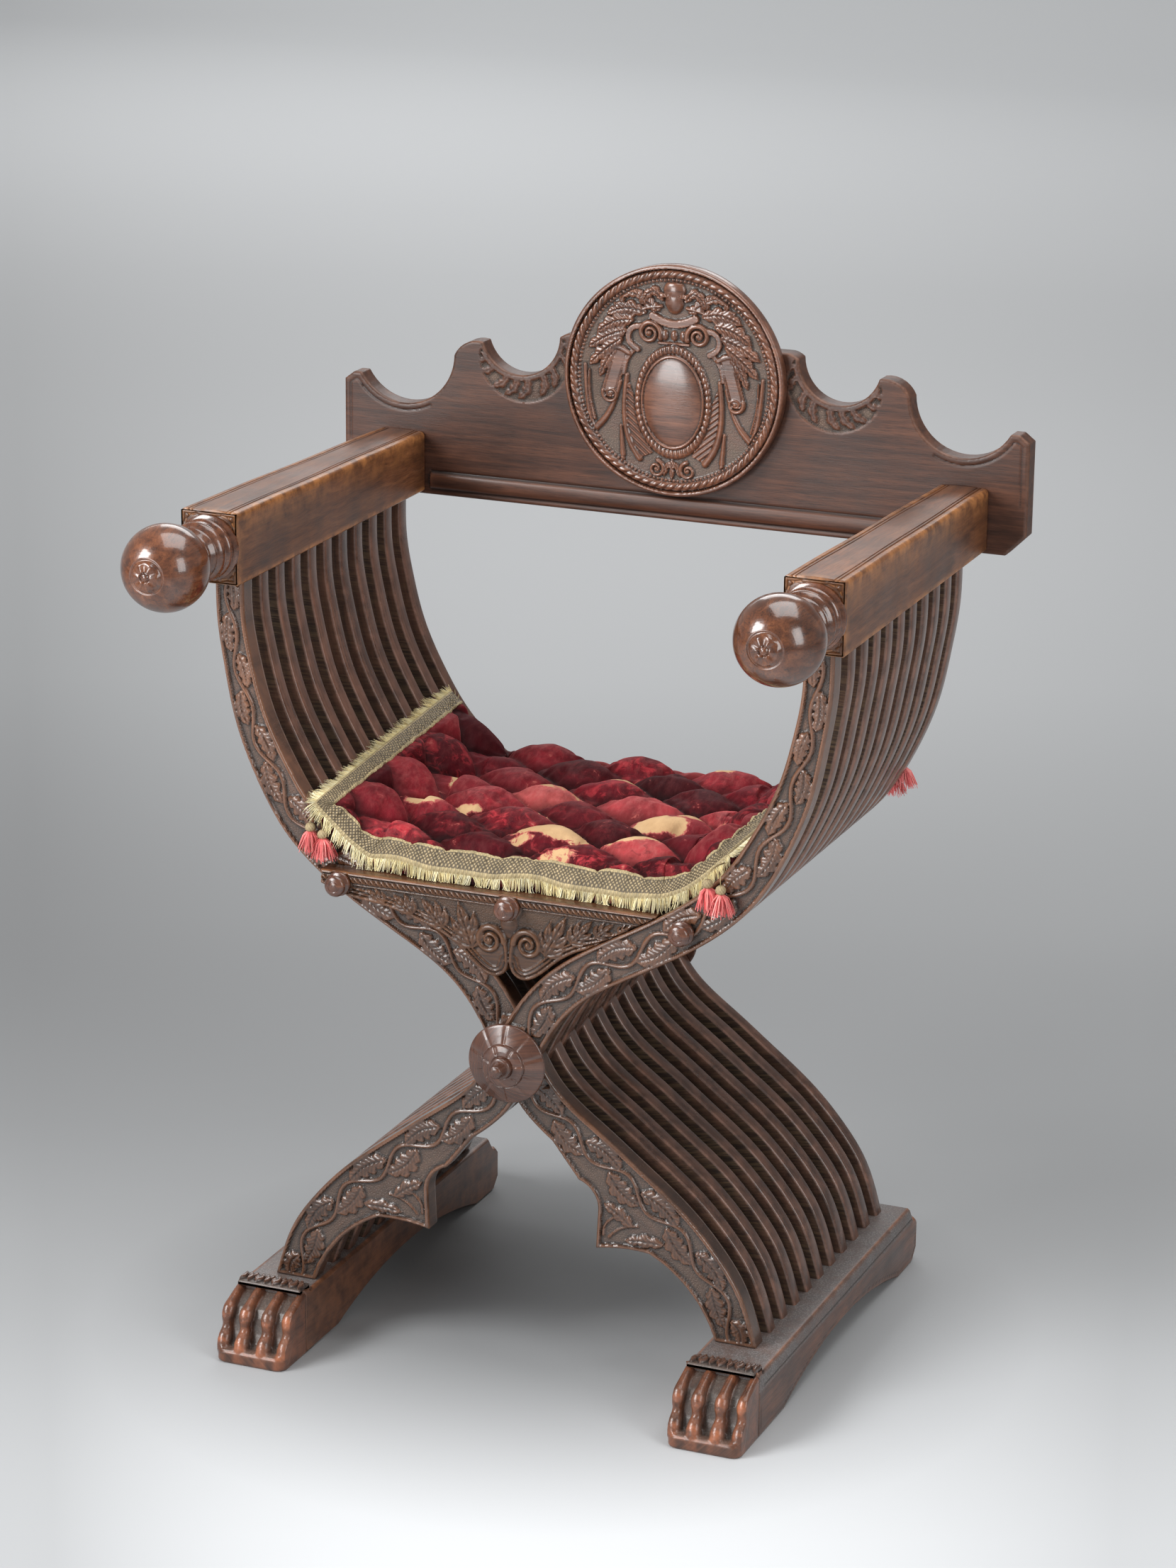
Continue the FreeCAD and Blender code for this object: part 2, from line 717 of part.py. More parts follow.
def cushionSection(y, inset, thin):
    """Cross-section of the cushion at one depth, drawn in by inset and made thinner by thin."""
    leftSide = staveEdges(cushionClear)[1]
    contour = smoothCurve(leftSide)
    samples = contour.discretize(400)
    rising = [p for p in samples if p.x > cushionFlatX and p.z > seatTop]
    flatEnd = min(rising, key=lambda p: p.z)
    sideEnd = min(rising, key=lambda p: abs(p.z - cushionSideZ + inset))
    middle = min(rising, key=lambda p: abs(p.z - (flatEnd.z + (sideEnd.z - flatEnd.z) * (1 - cushionMidShare))))
    lift = cushionClear
    low = [Vec(flatEnd.x - lift, y, seatTop + lift), Vec(middle.x - lift * 2, y, middle.z + lift * 2),
           Vec(sideEnd.x - lift, y, sideEnd.z + lift)]
    chord = low[2] - low[0]
    chord.normalize()
    normal = Vec(-chord.z, 0, chord.x)
    depth = cushionThickness - thin
    edge = cushionEdge - thin * cushionThinShare
    high = [low[0] + Vec(-lift * 4, 0, depth), low[1] + normal * (depth * cushionFoldShare), low[2] + normal * edge]
    flip = [Vec(-p.x, p.y, p.z) for p in low + high]
    crown = Vec(0, y, seatTop + lift + depth * cushionCrownShare)
    edges = [line(flip[0], low[0]), arc(low[0], low[1], low[2]), line(low[2], high[2]),
             arc(high[2], high[1], high[0]), arc(high[0], crown, flip[3]),
             arc(flip[3], flip[4], flip[5]), line(flip[5], flip[2]), arc(flip[2], flip[1], flip[0])]
    return Part.Wire(edges)


def cushionBody():
    """Loft of five sections: full in the middle, thin and drawn in at the front and back edges."""
    length = cushionRearY - cushionFrontY
    wires = []
    for depthShare, insetShare, thinShare in cushionShares:
        y = cushionFrontY + depthShare * length
        wires.append(cushionSection(y, insetShare * cushionDrawIn, thinShare * cushionEdge))
    return Part.makeLoft(wires, True, True)


def tuftPull(x, y, topZ):
    """Four-sided hollow that a tuft's stitch pulls into the top."""
    tip = Vec(x, y, topZ - tuftDepth)
    corners = [Vec(x + tuftRadius, y, topZ + tuftDepth), Vec(x, y + tuftRadius, topZ + tuftDepth),
               Vec(x - tuftRadius, y, topZ + tuftDepth), Vec(x, y - tuftRadius, topZ + tuftDepth)]
    faces = [Part.Face(Part.makePolygon(corners + [corners[0]]))]
    for index in range(4):
        a, b = corners[index], corners[(index + 1) % 4]
        faces.append(Part.Face(Part.makePolygon([a, b, tip, a])))
    return closedSolid(faces)


def makeCushion():
    body = cushionBody()
    topZ = seatTop + cushionThickness
    stepX = 2 * cushionFlatX / (tuftColumns - 1)
    stepY = (cushionRearY - cushionFrontY) / tuftRows
    tufts = []
    for row in range(tuftRows):
        shift = stepX / 2 if row % 2 else 0
        columns = tuftColumns - 1 if row % 2 else tuftColumns
        for column in range(columns):
            x = -cushionFlatX + shift + column * stepX
            y = cushionFrontY + stepY * (row + 0.5)
            tufts.append(tuftPull(x, y, topZ))
    save("cushion", body.cut(tufts))


def makeTassel(path):
    """One tassel: a cord along a path, then a knot and a skirt that flares downwards."""
    down = Vec(0, 0, -1)
    top = path[-1] + down * tasselDrop
    tassel = facetedLoft([(top + down * (along * tasselLength), down, radius * tasselRadius)
                          for along, radius in tasselShares])
    cords = []
    for a, b in zip(path, path[1:] + [top]):
        step = b - a
        step.normalize()
        cords.append(facetedLoft([(a, step, tasselCordRadius), (b + step * tasselCordRadius, step,
                                                                tasselCordRadius)]))
    return tassel.fuse(cords)


def makeTassels():
    """A pair at each corner of the cushion, clear of the staves beside it."""
    frontY = cushionFrontY - tasselClear
    rearY = cushionRearY + tasselClear
    room = tasselRadius + layerGap
    beforeA = frontFaceY - room
    behindA = aFronts[-1] + plainThickness + room
    behindB = stackRear + room
    tassels = []
    for reachShare, drop in zip(tasselReachShares, tasselDrops):
        x = reachShare * armCentreX
        z = cushionSideZ - drop
        tassels.append(makeTassel([Vec(-x, frontY, z), Vec(-x, frontY - tasselRadius, z)]))
        tassels.append(makeTassel([Vec(x, frontY, z), Vec(x, beforeA, z)]))
        tassels.append(makeTassel([Vec(-x, rearY, z), Vec(-x, behindB, z)]))
        out = x + tasselSideways
        tassels.append(makeTassel([Vec(x, rearY, z), Vec(x, behindA, z), Vec(out, behindA, z)]))
    save("cushion_tassels", Part.makeCompound(tassels))


makeStaves()
makeArms()
makeFinials()
makeRunners()
makePivot()
makeSeatRods()
makeSlats()
makeBoard()
makeRoundel()
makeCushion()
makeTassels()
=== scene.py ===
import bpy
import math
import numpy as np
from mathutils import Matrix, Vector
from mathutils.geometry import delaunay_2d_cdt


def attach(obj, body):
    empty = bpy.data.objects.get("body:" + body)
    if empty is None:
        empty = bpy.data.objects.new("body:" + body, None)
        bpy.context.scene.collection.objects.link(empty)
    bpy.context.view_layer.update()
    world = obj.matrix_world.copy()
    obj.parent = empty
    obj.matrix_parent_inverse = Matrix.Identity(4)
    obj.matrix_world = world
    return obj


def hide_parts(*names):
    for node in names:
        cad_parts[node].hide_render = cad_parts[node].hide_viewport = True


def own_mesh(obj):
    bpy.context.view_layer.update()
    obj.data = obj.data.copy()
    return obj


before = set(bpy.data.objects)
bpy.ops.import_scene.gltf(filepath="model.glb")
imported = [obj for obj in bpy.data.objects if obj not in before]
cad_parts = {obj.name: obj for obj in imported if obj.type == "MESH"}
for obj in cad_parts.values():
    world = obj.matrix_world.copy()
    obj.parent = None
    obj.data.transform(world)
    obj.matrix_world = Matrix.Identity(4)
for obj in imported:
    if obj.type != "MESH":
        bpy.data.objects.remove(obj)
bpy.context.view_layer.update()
rng = np.random.default_rng(11)
mm = 0.001
coarse = 1.0

# shared places, in millimetres, the same as the frame's
place = {
    "hub": 288.0, "runnerTop": 56.5, "armUnder": 679.0, "armX": 267.5, "footX": 202.3, "finialZ": 710.5,
    "waist": 38.0, "seatTop": 436.0, "pinX": 156.0, "pinZ": 426.0,
    "carved": 20.0, "plain": 15.1, "gap": 0.4, "front": -130.0, "pairs": 11,
    "armFront": -143.0, "boardFront": 238.0, "boardBack": 258.0}


def layers():
    # front faces of both frames' staves
    a, b = [place["front"]], [place["front"] + place["carved"] + place["gap"]]
    y = b[0] + place["carved"] + place["gap"]
    while len(a) < place["pairs"]:
        a.append(y)
        b.append(y + place["plain"] + place["gap"])
        y += 2 * (place["plain"] + place["gap"])
    return a, b


frontsA, frontsB = layers()
stackRear = frontsB[-1] + place["plain"]
print("frame loaded")


# small tools

def deselectAll():
    if bpy.context.object and bpy.context.object.mode != "OBJECT":
        bpy.ops.object.mode_set(mode="OBJECT")
    bpy.ops.object.select_all(action="DESELECT")


def makeActive(obj, *others):
    deselectAll()
    for item in (obj, *others):
        item.select_set(True)
    bpy.context.view_layer.objects.active = obj


def applyAll(obj):
    makeActive(obj)
    for modifier in list(obj.modifiers):
        bpy.ops.object.modifier_apply(modifier=modifier.name)


def smoothShade(obj, angle=40):
    makeActive(obj)
    bpy.ops.object.shade_smooth_by_angle(angle=math.radians(angle))


def linked(name, mesh):
    obj = bpy.data.objects.new(name, mesh)
    bpy.context.collection.objects.link(obj)
    return obj


def pieceFrom(name, verts, faces, edges=()):
    mesh = bpy.data.meshes.new(name)
    mesh.from_pydata((np.asarray(verts, float) * mm).tolist(), list(edges), [list(map(int, f)) for f in faces])
    mesh.update()
    return linked(name, mesh)


def joined(name, parts):
    makeActive(*parts)
    bpy.ops.object.join()
    bpy.context.object.name = name
    return bpy.context.object


def placesOf(obj):
    # the places of its vertices, in mm
    co = np.zeros(len(obj.data.vertices) * 3)
    obj.data.vertices.foreach_get("co", co)
    return co.reshape(-1, 3) / mm


def setPlaces(obj, co):
    obj.data.vertices.foreach_set("co", (co * mm).ravel())
    obj.data.update()


def quads(index, closed=False):
    # the faces of a grid of vertex numbers
    if closed:
        index = np.hstack([index, index[:, :1]])
    return np.stack([index[:-1, :-1], index[1:, :-1], index[1:, 1:], index[:-1, 1:]], -1).reshape(-1, 4)


def tube(count, ring):
    # the faces of count closed rings, with both ends
    index = np.arange(count * ring).reshape(count, ring)
    return quads(index, True).tolist() + [index[0, ::-1].tolist(), index[-1].tolist()]


def outward(obj):
    makeActive(obj)
    bpy.ops.object.mode_set(mode="EDIT")
    bpy.ops.mesh.select_all(action="SELECT")
    bpy.ops.mesh.normals_make_consistent(inside=False)
    bpy.ops.object.mode_set(mode="OBJECT")


def setPointValue(obj, name, values):
    layer = obj.data.attributes.get(name) or obj.data.attributes.new(name, "FLOAT", "POINT")
    layer.data.foreach_set("value", np.asarray(values, np.float32))


def pointValue(obj, name):
    return np.array([item.value for item in obj.data.attributes[name].data])


def setUv(obj, uv):
    # uv per vertex, copied to the corners
    layer = obj.data.uv_layers.get("grain") or obj.data.uv_layers.new(name="grain")
    index = np.zeros(len(obj.data.loops), int)
    obj.data.loops.foreach_get("vertex_index", index)
    layer.data.foreach_set("uv", np.asarray(uv, np.float32)[index].ravel())


def copyPiece(source, name, dy=0.0, mirror=False):
    obj = linked(name, source.data.copy())
    setPlaces(obj, placesOf(obj) * (-1 if mirror else 1, 1, 1) + (0, dy, 0))
    if mirror:
        obj.data.flip_normals()
    return obj


def dress(obj, body, material, nodes=()):
    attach(obj, body)
    obj.data.materials.clear()
    obj.data.materials.append(material)
    if nodes:
        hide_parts(*nodes)


def runOf(points):
    # distance along a line at each of its points
    return np.concatenate([[0], np.cumsum(np.linalg.norm(np.diff(np.asarray(points, float), axis=0), axis=1))])


def smoothLine(points, count):
    # natural cubic spline through points, count places along it
    p = np.asarray(points, float)
    t = runOf(p)
    n, h = len(t), np.diff(t)
    a, r = np.eye(n), np.zeros((n, p.shape[1]))
    for i in range(1, n - 1):
        a[i, i - 1:i + 2] = h[i - 1], 2 * (h[i - 1] + h[i]), h[i]
        r[i] = 3 * ((p[i + 1] - p[i]) / h[i] - (p[i] - p[i - 1]) / h[i - 1])
    c = np.linalg.solve(a, r)
    at = np.linspace(0, t[-1], count)
    k = np.clip(np.searchsorted(t, at, side="right") - 1, 0, n - 2)
    d = (c[k + 1] - c[k]) / (3 * h[k][:, None])
    b = (p[k + 1] - p[k]) / h[k][:, None] - h[k][:, None] * (2 * c[k] + c[k + 1]) / 3
    u = (at - t[k])[:, None]
    return p[k] + b * u + c[k] * u ** 2 + d * u ** 3


def resample(points, step):
    p = np.asarray(points, float)
    t = runOf(p)
    at = np.linspace(0, t[-1], max(2, int(round(t[-1] / step)) + 1))
    return np.stack([np.interp(at, t, p[:, i]) for i in range(p.shape[1])], 1)


def arcPoints(a, b, c, count=24):
    # points on the circle through a, b and c
    a, b, c = (np.asarray(p, float) for p in (a, b, c))
    m = np.array([b - a, c - a]) * 2
    centre = np.linalg.solve(m, [b @ b - a @ a, c @ c - a @ a])
    angles = [math.atan2(*(p - centre)[::-1]) for p in (a, b, c)]
    turn = (angles[2] - angles[0]) % (2 * math.pi)
    if (angles[1] - angles[0]) % (2 * math.pi) > turn:
        turn -= 2 * math.pi
    at = angles[0] + np.linspace(0, 1, count) * turn
    return centre + np.linalg.norm(a - centre) * np.stack([np.cos(at), np.sin(at)], 1)


def inside(points, polygon):
    x, z = points[:, 0], points[:, 1]
    result = np.zeros(len(points), bool)
    for (x0, z0), (x1, z1) in zip(polygon, np.roll(polygon, -1, axis=0)):
        if z0 == z1:
            continue
        crosses = ((z0 > z) != (z1 > z)) & (x < (x1 - x0) * (z - z0) / (z1 - z0) + x0)
        result ^= crosses
    return result


def toLine(points, line):
    # distance, place along (mm) and signed side of each point from a polyline
    line = np.asarray(line, float)
    best = np.full(len(points), 1e9)
    along, side = np.zeros(len(points)), np.zeros(len(points))
    start = 0.0
    for a, b in zip(line, line[1:]):
        d = b - a
        length = math.hypot(*d)
        if length < 1e-9:
            continue
        d = d / length
        q = points - a
        s = np.clip(q @ d, 0, length)
        off = q - s[:, None] * d
        dist = np.hypot(off[:, 0], off[:, 1])
        better = dist < best
        best = np.where(better, dist, best)
        along = np.where(better, start + s, along)
        cross = d[0] * q[:, 1] - d[1] * q[:, 0]
        side = np.where(better, np.sign(cross), side)
        start += length
    return best, along, side


def soft(x):
    x = np.clip(x, 0, 1)
    return x * x * (3 - 2 * x)


def bead(x, half):
    # half-round section
    return np.sqrt(np.clip(1 - (x / half) ** 2, 0, 1))


def groove(x, width):
    return np.exp(-(x / width) ** 2)


# carving: heights in mm over the ground, at points (x, z)

def ridge(points, line, width, height):
    return height * bead(toLine(points, line)[0], width)


def band(points, line, half, height):
    return height * soft((half - toLine(points, line)[0]) / 1.0 + 0.5)


def taperRidge(points, line, width0, width1, height):
    d, along, _ = toLine(points, line)
    w = width0 + (width1 - width0) * along / runOf(line)[-1]
    return height * (0.55 + 0.45 * w / max(width0, width1)) * bead(d, w)


def leaf(points, spine, width, height, lobes=4, tip=0.85, vein=True):
    # lobed leaf along a spine, with a midrib and side veins
    spine = smoothLine(spine, 14)
    near = np.linalg.norm(points - spine.mean(0), axis=1) < np.linalg.norm(spine[0] - spine[-1]) + width
    result = np.zeros(len(points))
    if not near.any():
        return result
    d, along, side = toLine(points[near], spine)
    length = runOf(spine)[-1]
    u = np.clip(along / length, 0, 1)
    envelope = np.sin(np.pi * np.clip(u * 0.94 + 0.05, 0, 1) ** tip) ** 0.62
    wave = 0.66 + 0.34 * np.abs(np.sin(np.pi * (lobes * u + 0.12 * np.abs(side))))
    w = width * envelope * wave + 0.01
    edge = soft((w - d) / 1.1)
    h = edge * (0.62 + 0.38 * np.clip(1 - (d / w) ** 2, 0, 1))
    if vein:
        slant = (along - 0.9 * d) / (length / (lobes * 2 + 1))
        h -= edge * (0.34 * groove(d, 0.7) + 0.16 * groove(slant - np.round(slant), 0.16) * soft(d / 1.5))
    result[near] = height * h
    return result


def acanthus(points, root, tip, spread, height):
    # upright leaf of five lobes round its midrib
    root, tip = np.array(root, float), np.array(tip, float)
    run = tip - root
    out = np.array([-run[1], run[0]]) / np.linalg.norm(run) * spread
    h = leaf(points, (root, root + run * 0.5, tip), spread * 0.42, height, lobes=2, tip=0.9)
    for side in (-1, 1):
        for start, end, reach in ((0.02, 0.42, 0.98), (0.24, 0.72, 0.72)):
            a, c = root + run * start, root + run * end + side * out * reach
            b = (a + c) / 2 + side * out * 0.10 - run * 0.04
            h = np.maximum(h, leaf(points, (a, b, c), spread * 0.36, height * 0.86, lobes=1, tip=0.8))
    return h


def volute(points, centre, radius, turns, start, direction, width, height):
    # a band that winds in to a round eye
    t = np.linspace(0, 1, 60)
    r = radius * (1 - t * 0.84)
    angle = math.radians(start) + direction * t * turns * 2 * math.pi
    line = np.stack([centre[0] + r * np.cos(angle), centre[1] + r * np.sin(angle)], 1)
    eye = np.hypot(points[:, 0] - centre[0], points[:, 1] - centre[1])
    return np.maximum(taperRidge(points, line, width, width * 0.55, height), height * 1.05 * bead(eye, radius * 0.24))


def dome(points, centre, radii, height, power=0.5):
    q = ((points[:, 0] - centre[0]) / radii[0]) ** 2 + ((points[:, 1] - centre[1]) / radii[1]) ** 2
    return height * np.clip(1 - q, 0, 1) ** power


def mirrored(points):
    return points * np.array([-1.0, 1.0])


def hollows(height, triangles):
    # how far each point lies under, and over, the mean height of its neighbours
    pairs = np.vstack([triangles[:, [0, 1]], triangles[:, [1, 2]], triangles[:, [2, 0]]])
    pairs = np.vstack([pairs, pairs[:, ::-1]])
    count = np.bincount(pairs[:, 0], minlength=len(height)) + 1e-9
    mean = height.copy()
    for _ in range(5):
        mean = np.bincount(pairs[:, 0], weights=mean[pairs[:, 1]], minlength=len(height)) / count
    return soft((mean - height - 0.06) / 0.6), soft((height - mean - 0.06) / 0.55)


def fillOutline(places, outline):
    # triangles between the places, the first of which are the outline; and the new number of each place
    result = delaunay_2d_cdt([Vector(p) for p in places], [], [list(range(len(outline)))], 1, 1e-6, True)
    flat = np.array([tuple(v) for v in result[0]])
    newOf = {old[0]: new for new, old in enumerate(result[3]) if old}
    triangles = np.array([f[:3] for f in result[2]])
    triangles = triangles[inside(flat[triangles].mean(1), outline)]
    a, b, c = (flat[triangles[:, k]] for k in range(3))
    turn = (b[:, 0] - a[:, 0]) * (c[:, 1] - a[:, 1]) - (b[:, 1] - a[:, 1]) * (c[:, 0] - a[:, 0])
    triangles[turn < 0] = triangles[turn < 0][:, ::-1]
    return flat, triangles, newOf


def carvedPlate(name, outline, faceY, backY, carve, step=1.3, rounding=1.6, grain=None):
    # a flat piece with its front face carved: a fine mesh fills the outline and is pushed to the carved height
    step = step * coarse
    outline = resample(np.vstack([outline, outline[:1]]), step)[:-1]
    after = np.roll(outline, -1, axis=0)
    if np.sum(outline[:, 0] * after[:, 1] - outline[:, 1] * after[:, 0]) < 0:
        outline = outline[::-1]
    low, high = outline.min(0), outline.max(0)
    columns, rows = np.arange(low[0], high[0], step), np.arange(low[1], high[1], step * 0.866)
    lattice = np.stack([columns + (np.arange(len(rows)) % 2 * step / 2)[:, None], rows[:, None] + 0 * columns], -1)
    lattice = lattice.reshape(-1, 2)
    lattice = lattice[inside(lattice, outline)]
    closed = np.vstack([outline, outline[:1]])
    lattice = lattice[toLine(lattice, closed)[0] > step * 0.55]
    n = len(outline)
    flat, triangles, newOf = fillOutline(np.vstack([outline, lattice]), outline)
    loop = [newOf[i] for i in range(n)]
    edgeDistance = toLine(flat, closed)[0]
    drop = rounding - np.sqrt(np.clip(rounding ** 2 - np.clip(rounding - edgeDistance, 0, rounding) ** 2, 0, None))
    height, ground = carve(flat, edgeDistance)
    y = faceY - height + drop
    hollow, crest = hollows(height, triangles)
    # walls and back
    inward = np.roll(outline, -1, axis=0) - np.roll(outline, 1, axis=0)
    inward = np.stack([-inward[:, 1], inward[:, 0]], 1)
    inward /= np.linalg.norm(inward, axis=1)[:, None] + 1e-9
    inset = outline + inward * rounding * 0.8
    rings = [(outline, y[loop] + 2.6), (outline, np.full(n, backY - rounding - 2.0)),
             (outline, np.full(n, backY - rounding)), (inset, np.full(n, backY))]
    verts = np.vstack([np.stack([p[:, 0], d, p[:, 1]], 1) for p, d in [(flat, y)] + rings])
    walls = len(flat) + np.arange(4 * n).reshape(4, n)
    faces = triangles.tolist() + quads(np.vstack([loop, walls]), True).tolist()
    _, rear, rearOf = fillOutline(inset, inset)
    oldOf = {new: old for old, new in rearOf.items()}
    faces += [[walls[3, oldOf[v]] for v in f[::-1]] for f in rear.tolist() if all(v in oldOf for v in f)]
    obj = pieceFrom(name, verts, faces)
    both = np.vstack([flat, outline, outline, outline, inset])
    for key, values in (("ground", ground), ("paintedRecessShade", hollow), ("crest", crest)):
        setPointValue(obj, key, np.concatenate([values, np.zeros(4 * n)]))
    setPointValue(obj, "edge", np.concatenate([np.exp(-edgeDistance / 1.6),
                                               np.repeat([0.1, 0.1, 1.0, 0.5], n)]))
    setUv(obj, (grain(both) if grain else both) * mm)
    smoothShade(obj, 50)
    return obj


# finishes

def rgba(value):
    return (value, value, value, 1) if isinstance(value, (int, float)) else (*value, 1)


class Finish:
    # a new node material, with short ways to add to it; a plain number stands for a grey

    def __init__(self, name):
        self.material = bpy.data.materials.new(name)
        self.material.use_nodes = True
        self.tree = self.material.node_tree
        self.tree.nodes.clear()
        out = self.node("OutputMaterial")
        self.shader = self.node("BsdfPrincipled")
        self.tree.links.new(self.shader.outputs[0], out.inputs[0])
        self.place = self.node("TexCoord").outputs["Object"]

    def put(self, socket, value):
        if isinstance(value, bpy.types.NodeSocket):
            self.tree.links.new(value, socket)
        else:
            socket.default_value = rgba(value) if socket.type == "RGBA" else value

    def node(self, kind, inputs=None, **settings):
        node = self.tree.nodes.new("ShaderNode" + kind)
        for key, value in settings.items():
            setattr(node, key, value)
        for key, value in (inputs or {}).items():
            self.put(node.inputs[key], value)
        return node

    def uv(self):
        return self.node("UVMap", uv_map="grain").outputs[0]

    def value(self, name):
        return self.node("Attribute", attribute_name=name).outputs["Fac"]

    def mapped(self, vector, scale, turn=0.0):
        inputs = {"Vector": vector, "Scale": scale, "Rotation": (0, 0, turn)}
        return self.node("Mapping", inputs).outputs[0]

    def vector(self, operation, a, *b, out="Vector"):
        return self.node("VectorMath", dict(enumerate((a, *b))), operation=operation).outputs[out]

    def noise(self, vector, scale, detail, rough=0.5, twist=0.0, out="Fac"):
        inputs = {"Vector": vector, "Scale": scale, "Detail": detail, "Roughness": rough, "Distortion": twist}
        return self.node("TexNoise", inputs).outputs[out]

    def ramp(self, fac, *stops, smooth=False):
        node = self.node("ValToRGB", {"Fac": fac})
        ramp = node.color_ramp
        ramp.interpolation = "B_SPLINE" if smooth else "LINEAR"
        while len(ramp.elements) < len(stops):
            ramp.elements.new(0.5)
        for element, (at, colour) in zip(ramp.elements, stops):
            element.position = at
            element.color = rgba(colour)
        return node.outputs["Color"]

    def calc(self, operation, a, b=0.0, clamp=False):
        return self.node("Math", {0: a, 1: b}, operation=operation, use_clamp=clamp).outputs[0]

    def times(self, a, b, clamp=False):
        return self.calc("MULTIPLY", a, b, clamp)

    def mix(self, share, a, b, blend="MIX"):
        return self.node("Mix", {0: share, 6: a, 7: b}, data_type="RGBA", blend_type=blend).outputs[2]

    def shade(self, colour, by, share=1.0):
        return self.mix(share, colour, by, "MULTIPLY")

    def done(self, colour, bump=None, **sockets):
        # bump is its height, strength and distance
        self.put(self.shader.inputs["Base Color"], colour)
        if bump:
            normal = self.node("Bump", dict(zip(("Height", "Strength", "Distance"), bump))).outputs[0]
            self.put(self.shader.inputs["Normal"], normal)
        for key, value in sockets.items():
            self.put(self.shader.inputs[key.replace("_", " ")], value)
        return self.material


def makeWood(name, tones, along="uv", rough=0.42, wearAndGlint=0.5, wearAndGlintColour=(300, 115, 45), dustAndReflection=0.0,
             dustAndReflectionColour=(200, 150, 125), hatch=0.0, stipple=0.0, coat=0.14, gain=1.5, low=0.5):
    # tones holds a dark, a middle and a light colour; all colours are in thousandths; low sets how dark the painted
    # shade towards the floor goes
    f = Finish(name + "Walnut")
    dark, mid, light = (tuple(v * gain * part / 1000 for v, part in zip(tones[k:k + 3], (1, 1, 0.85)))
                        for k in (0, 3, 6))
    wearAndGlintColour, dustAndReflectionColour = (tuple(v / 1000 for v in colour) for colour in (wearAndGlintColour, dustAndReflectionColour))
    source = f.uv() if along == "uv" else f.place
    scale = {"uv": (9, 150, 1), "x": (9, 150, 150), "y": (150, 9, 150)}[along]
    # each layer of the stack gets its own part of the pattern
    layer = f.noise(f.mapped(f.place, (0.9, 31.0, 0.9)), 1.0, 1.0, out="Color")
    streaks = f.noise(f.vector("ADD", f.mapped(source, scale), layer), 1.0, 7.0, 0.62, 0.6)
    pores = f.noise(f.mapped(source, tuple(v * 6 for v in scale)), 1.0, 3.0, 0.7)
    patches = f.noise(f.place, 14.0, 4.0, 0.6)
    rubbing = f.noise(f.place, 60.0, 5.0, 0.65)
    colour = f.ramp(streaks, (0.28, dark), (0.5, mid), (0.74, light))
    colour = f.shade(colour, f.ramp(pores, (0.34, 0.45), (0.52, 1.0)), 0.75)
    colour = f.shade(colour, f.ramp(patches, (0.3, 0.62), (0.7, 1.3)), 0.8)
    colour = f.shade(colour, f.ramp(layer.node.outputs["Fac"], (0.35, 0.7), (0.65, 1.25)), 0.6)
    # painted shade: darker towards the floor, as the light falls from above
    up = f.times(f.node("SeparateXYZ", {0: f.place}).outputs[2], 1.9, True)
    colour = f.shade(colour, f.ramp(up, (0.0, low), (0.45, low), (1.0, 1.0)))
    # rubbed edges; on the staves the pale edge colour also paints the glint along the arrises
    worn = f.times(f.times(f.value("edge"), f.ramp(rubbing, (0.4, 0.15), (0.62, 1.0))), wearAndGlint, True)
    colour = f.mix(worn, colour, wearAndGlintColour)
    crest = f.value("crest")
    colour = f.mix(f.times(crest, 0.32), colour, tuple(min(1.0, v * 1.3 + 0.008) for v in light))
    roughness = f.ramp(patches, (0.3, rough - 0.07), (0.7, rough + 0.1))
    roughness = f.mix(f.times(crest, 0.7), roughness, max(0.2, rough - 0.14))
    height = f.times(pores, 0.35)
    if hatch:
        marks = f.noise(f.mapped(source, (520, 30, 1)), 1.0, 3.0, 0.6)
        scratch = f.ramp(marks, (0.42, (0.014, 0.009, 0.006)), (0.6, (0.105, 0.068, 0.036)))
        sides = f.times(f.value("side"), hatch, True)
        colour = f.mix(f.times(sides, f.ramp(patches, (0.36, 0.15), (0.6, 1.0))), colour, scratch)
        height = f.times(f.times(marks, sides), 1.6)
        roughness = f.mix(sides, roughness, 0.72)
    if stipple:
        ground = f.value("ground")
        dots = f.node("TexVoronoi", {"Vector": f.place, "Scale": 620.0}, feature="F1").outputs["Distance"]
        dots = f.ramp(dots, (0.1, 0.0), (0.55, 1.0))
        height = f.calc("ADD", height, f.times(f.times(dots, ground), stipple))
        # dust in the carved grounds; on the runners' tops it is also a painted reflection
        dustAndReflectionShare = f.times(f.times(ground, f.ramp(rubbing, (0.3, 0.35), (0.6, 1.0))), dustAndReflection, True)
        colour = f.mix(dustAndReflectionShare, colour, f.mix(dots, dustAndReflectionColour, tuple(v * 0.45 for v in dustAndReflectionColour)))
        roughness = f.mix(dustAndReflectionShare, roughness, 0.8)
    # painted shade: near black in the recesses, where shade falls
    colour = f.mix(f.times(f.value("paintedRecessShade"), 0.72), colour, (0.010, 0.006, 0.005))
    return f.done(colour, (height, 0.55, 0.0006), Roughness=roughness, Coat_Weight=coat,
                  Coat_Roughness=0.27 - 0.17 * coat)


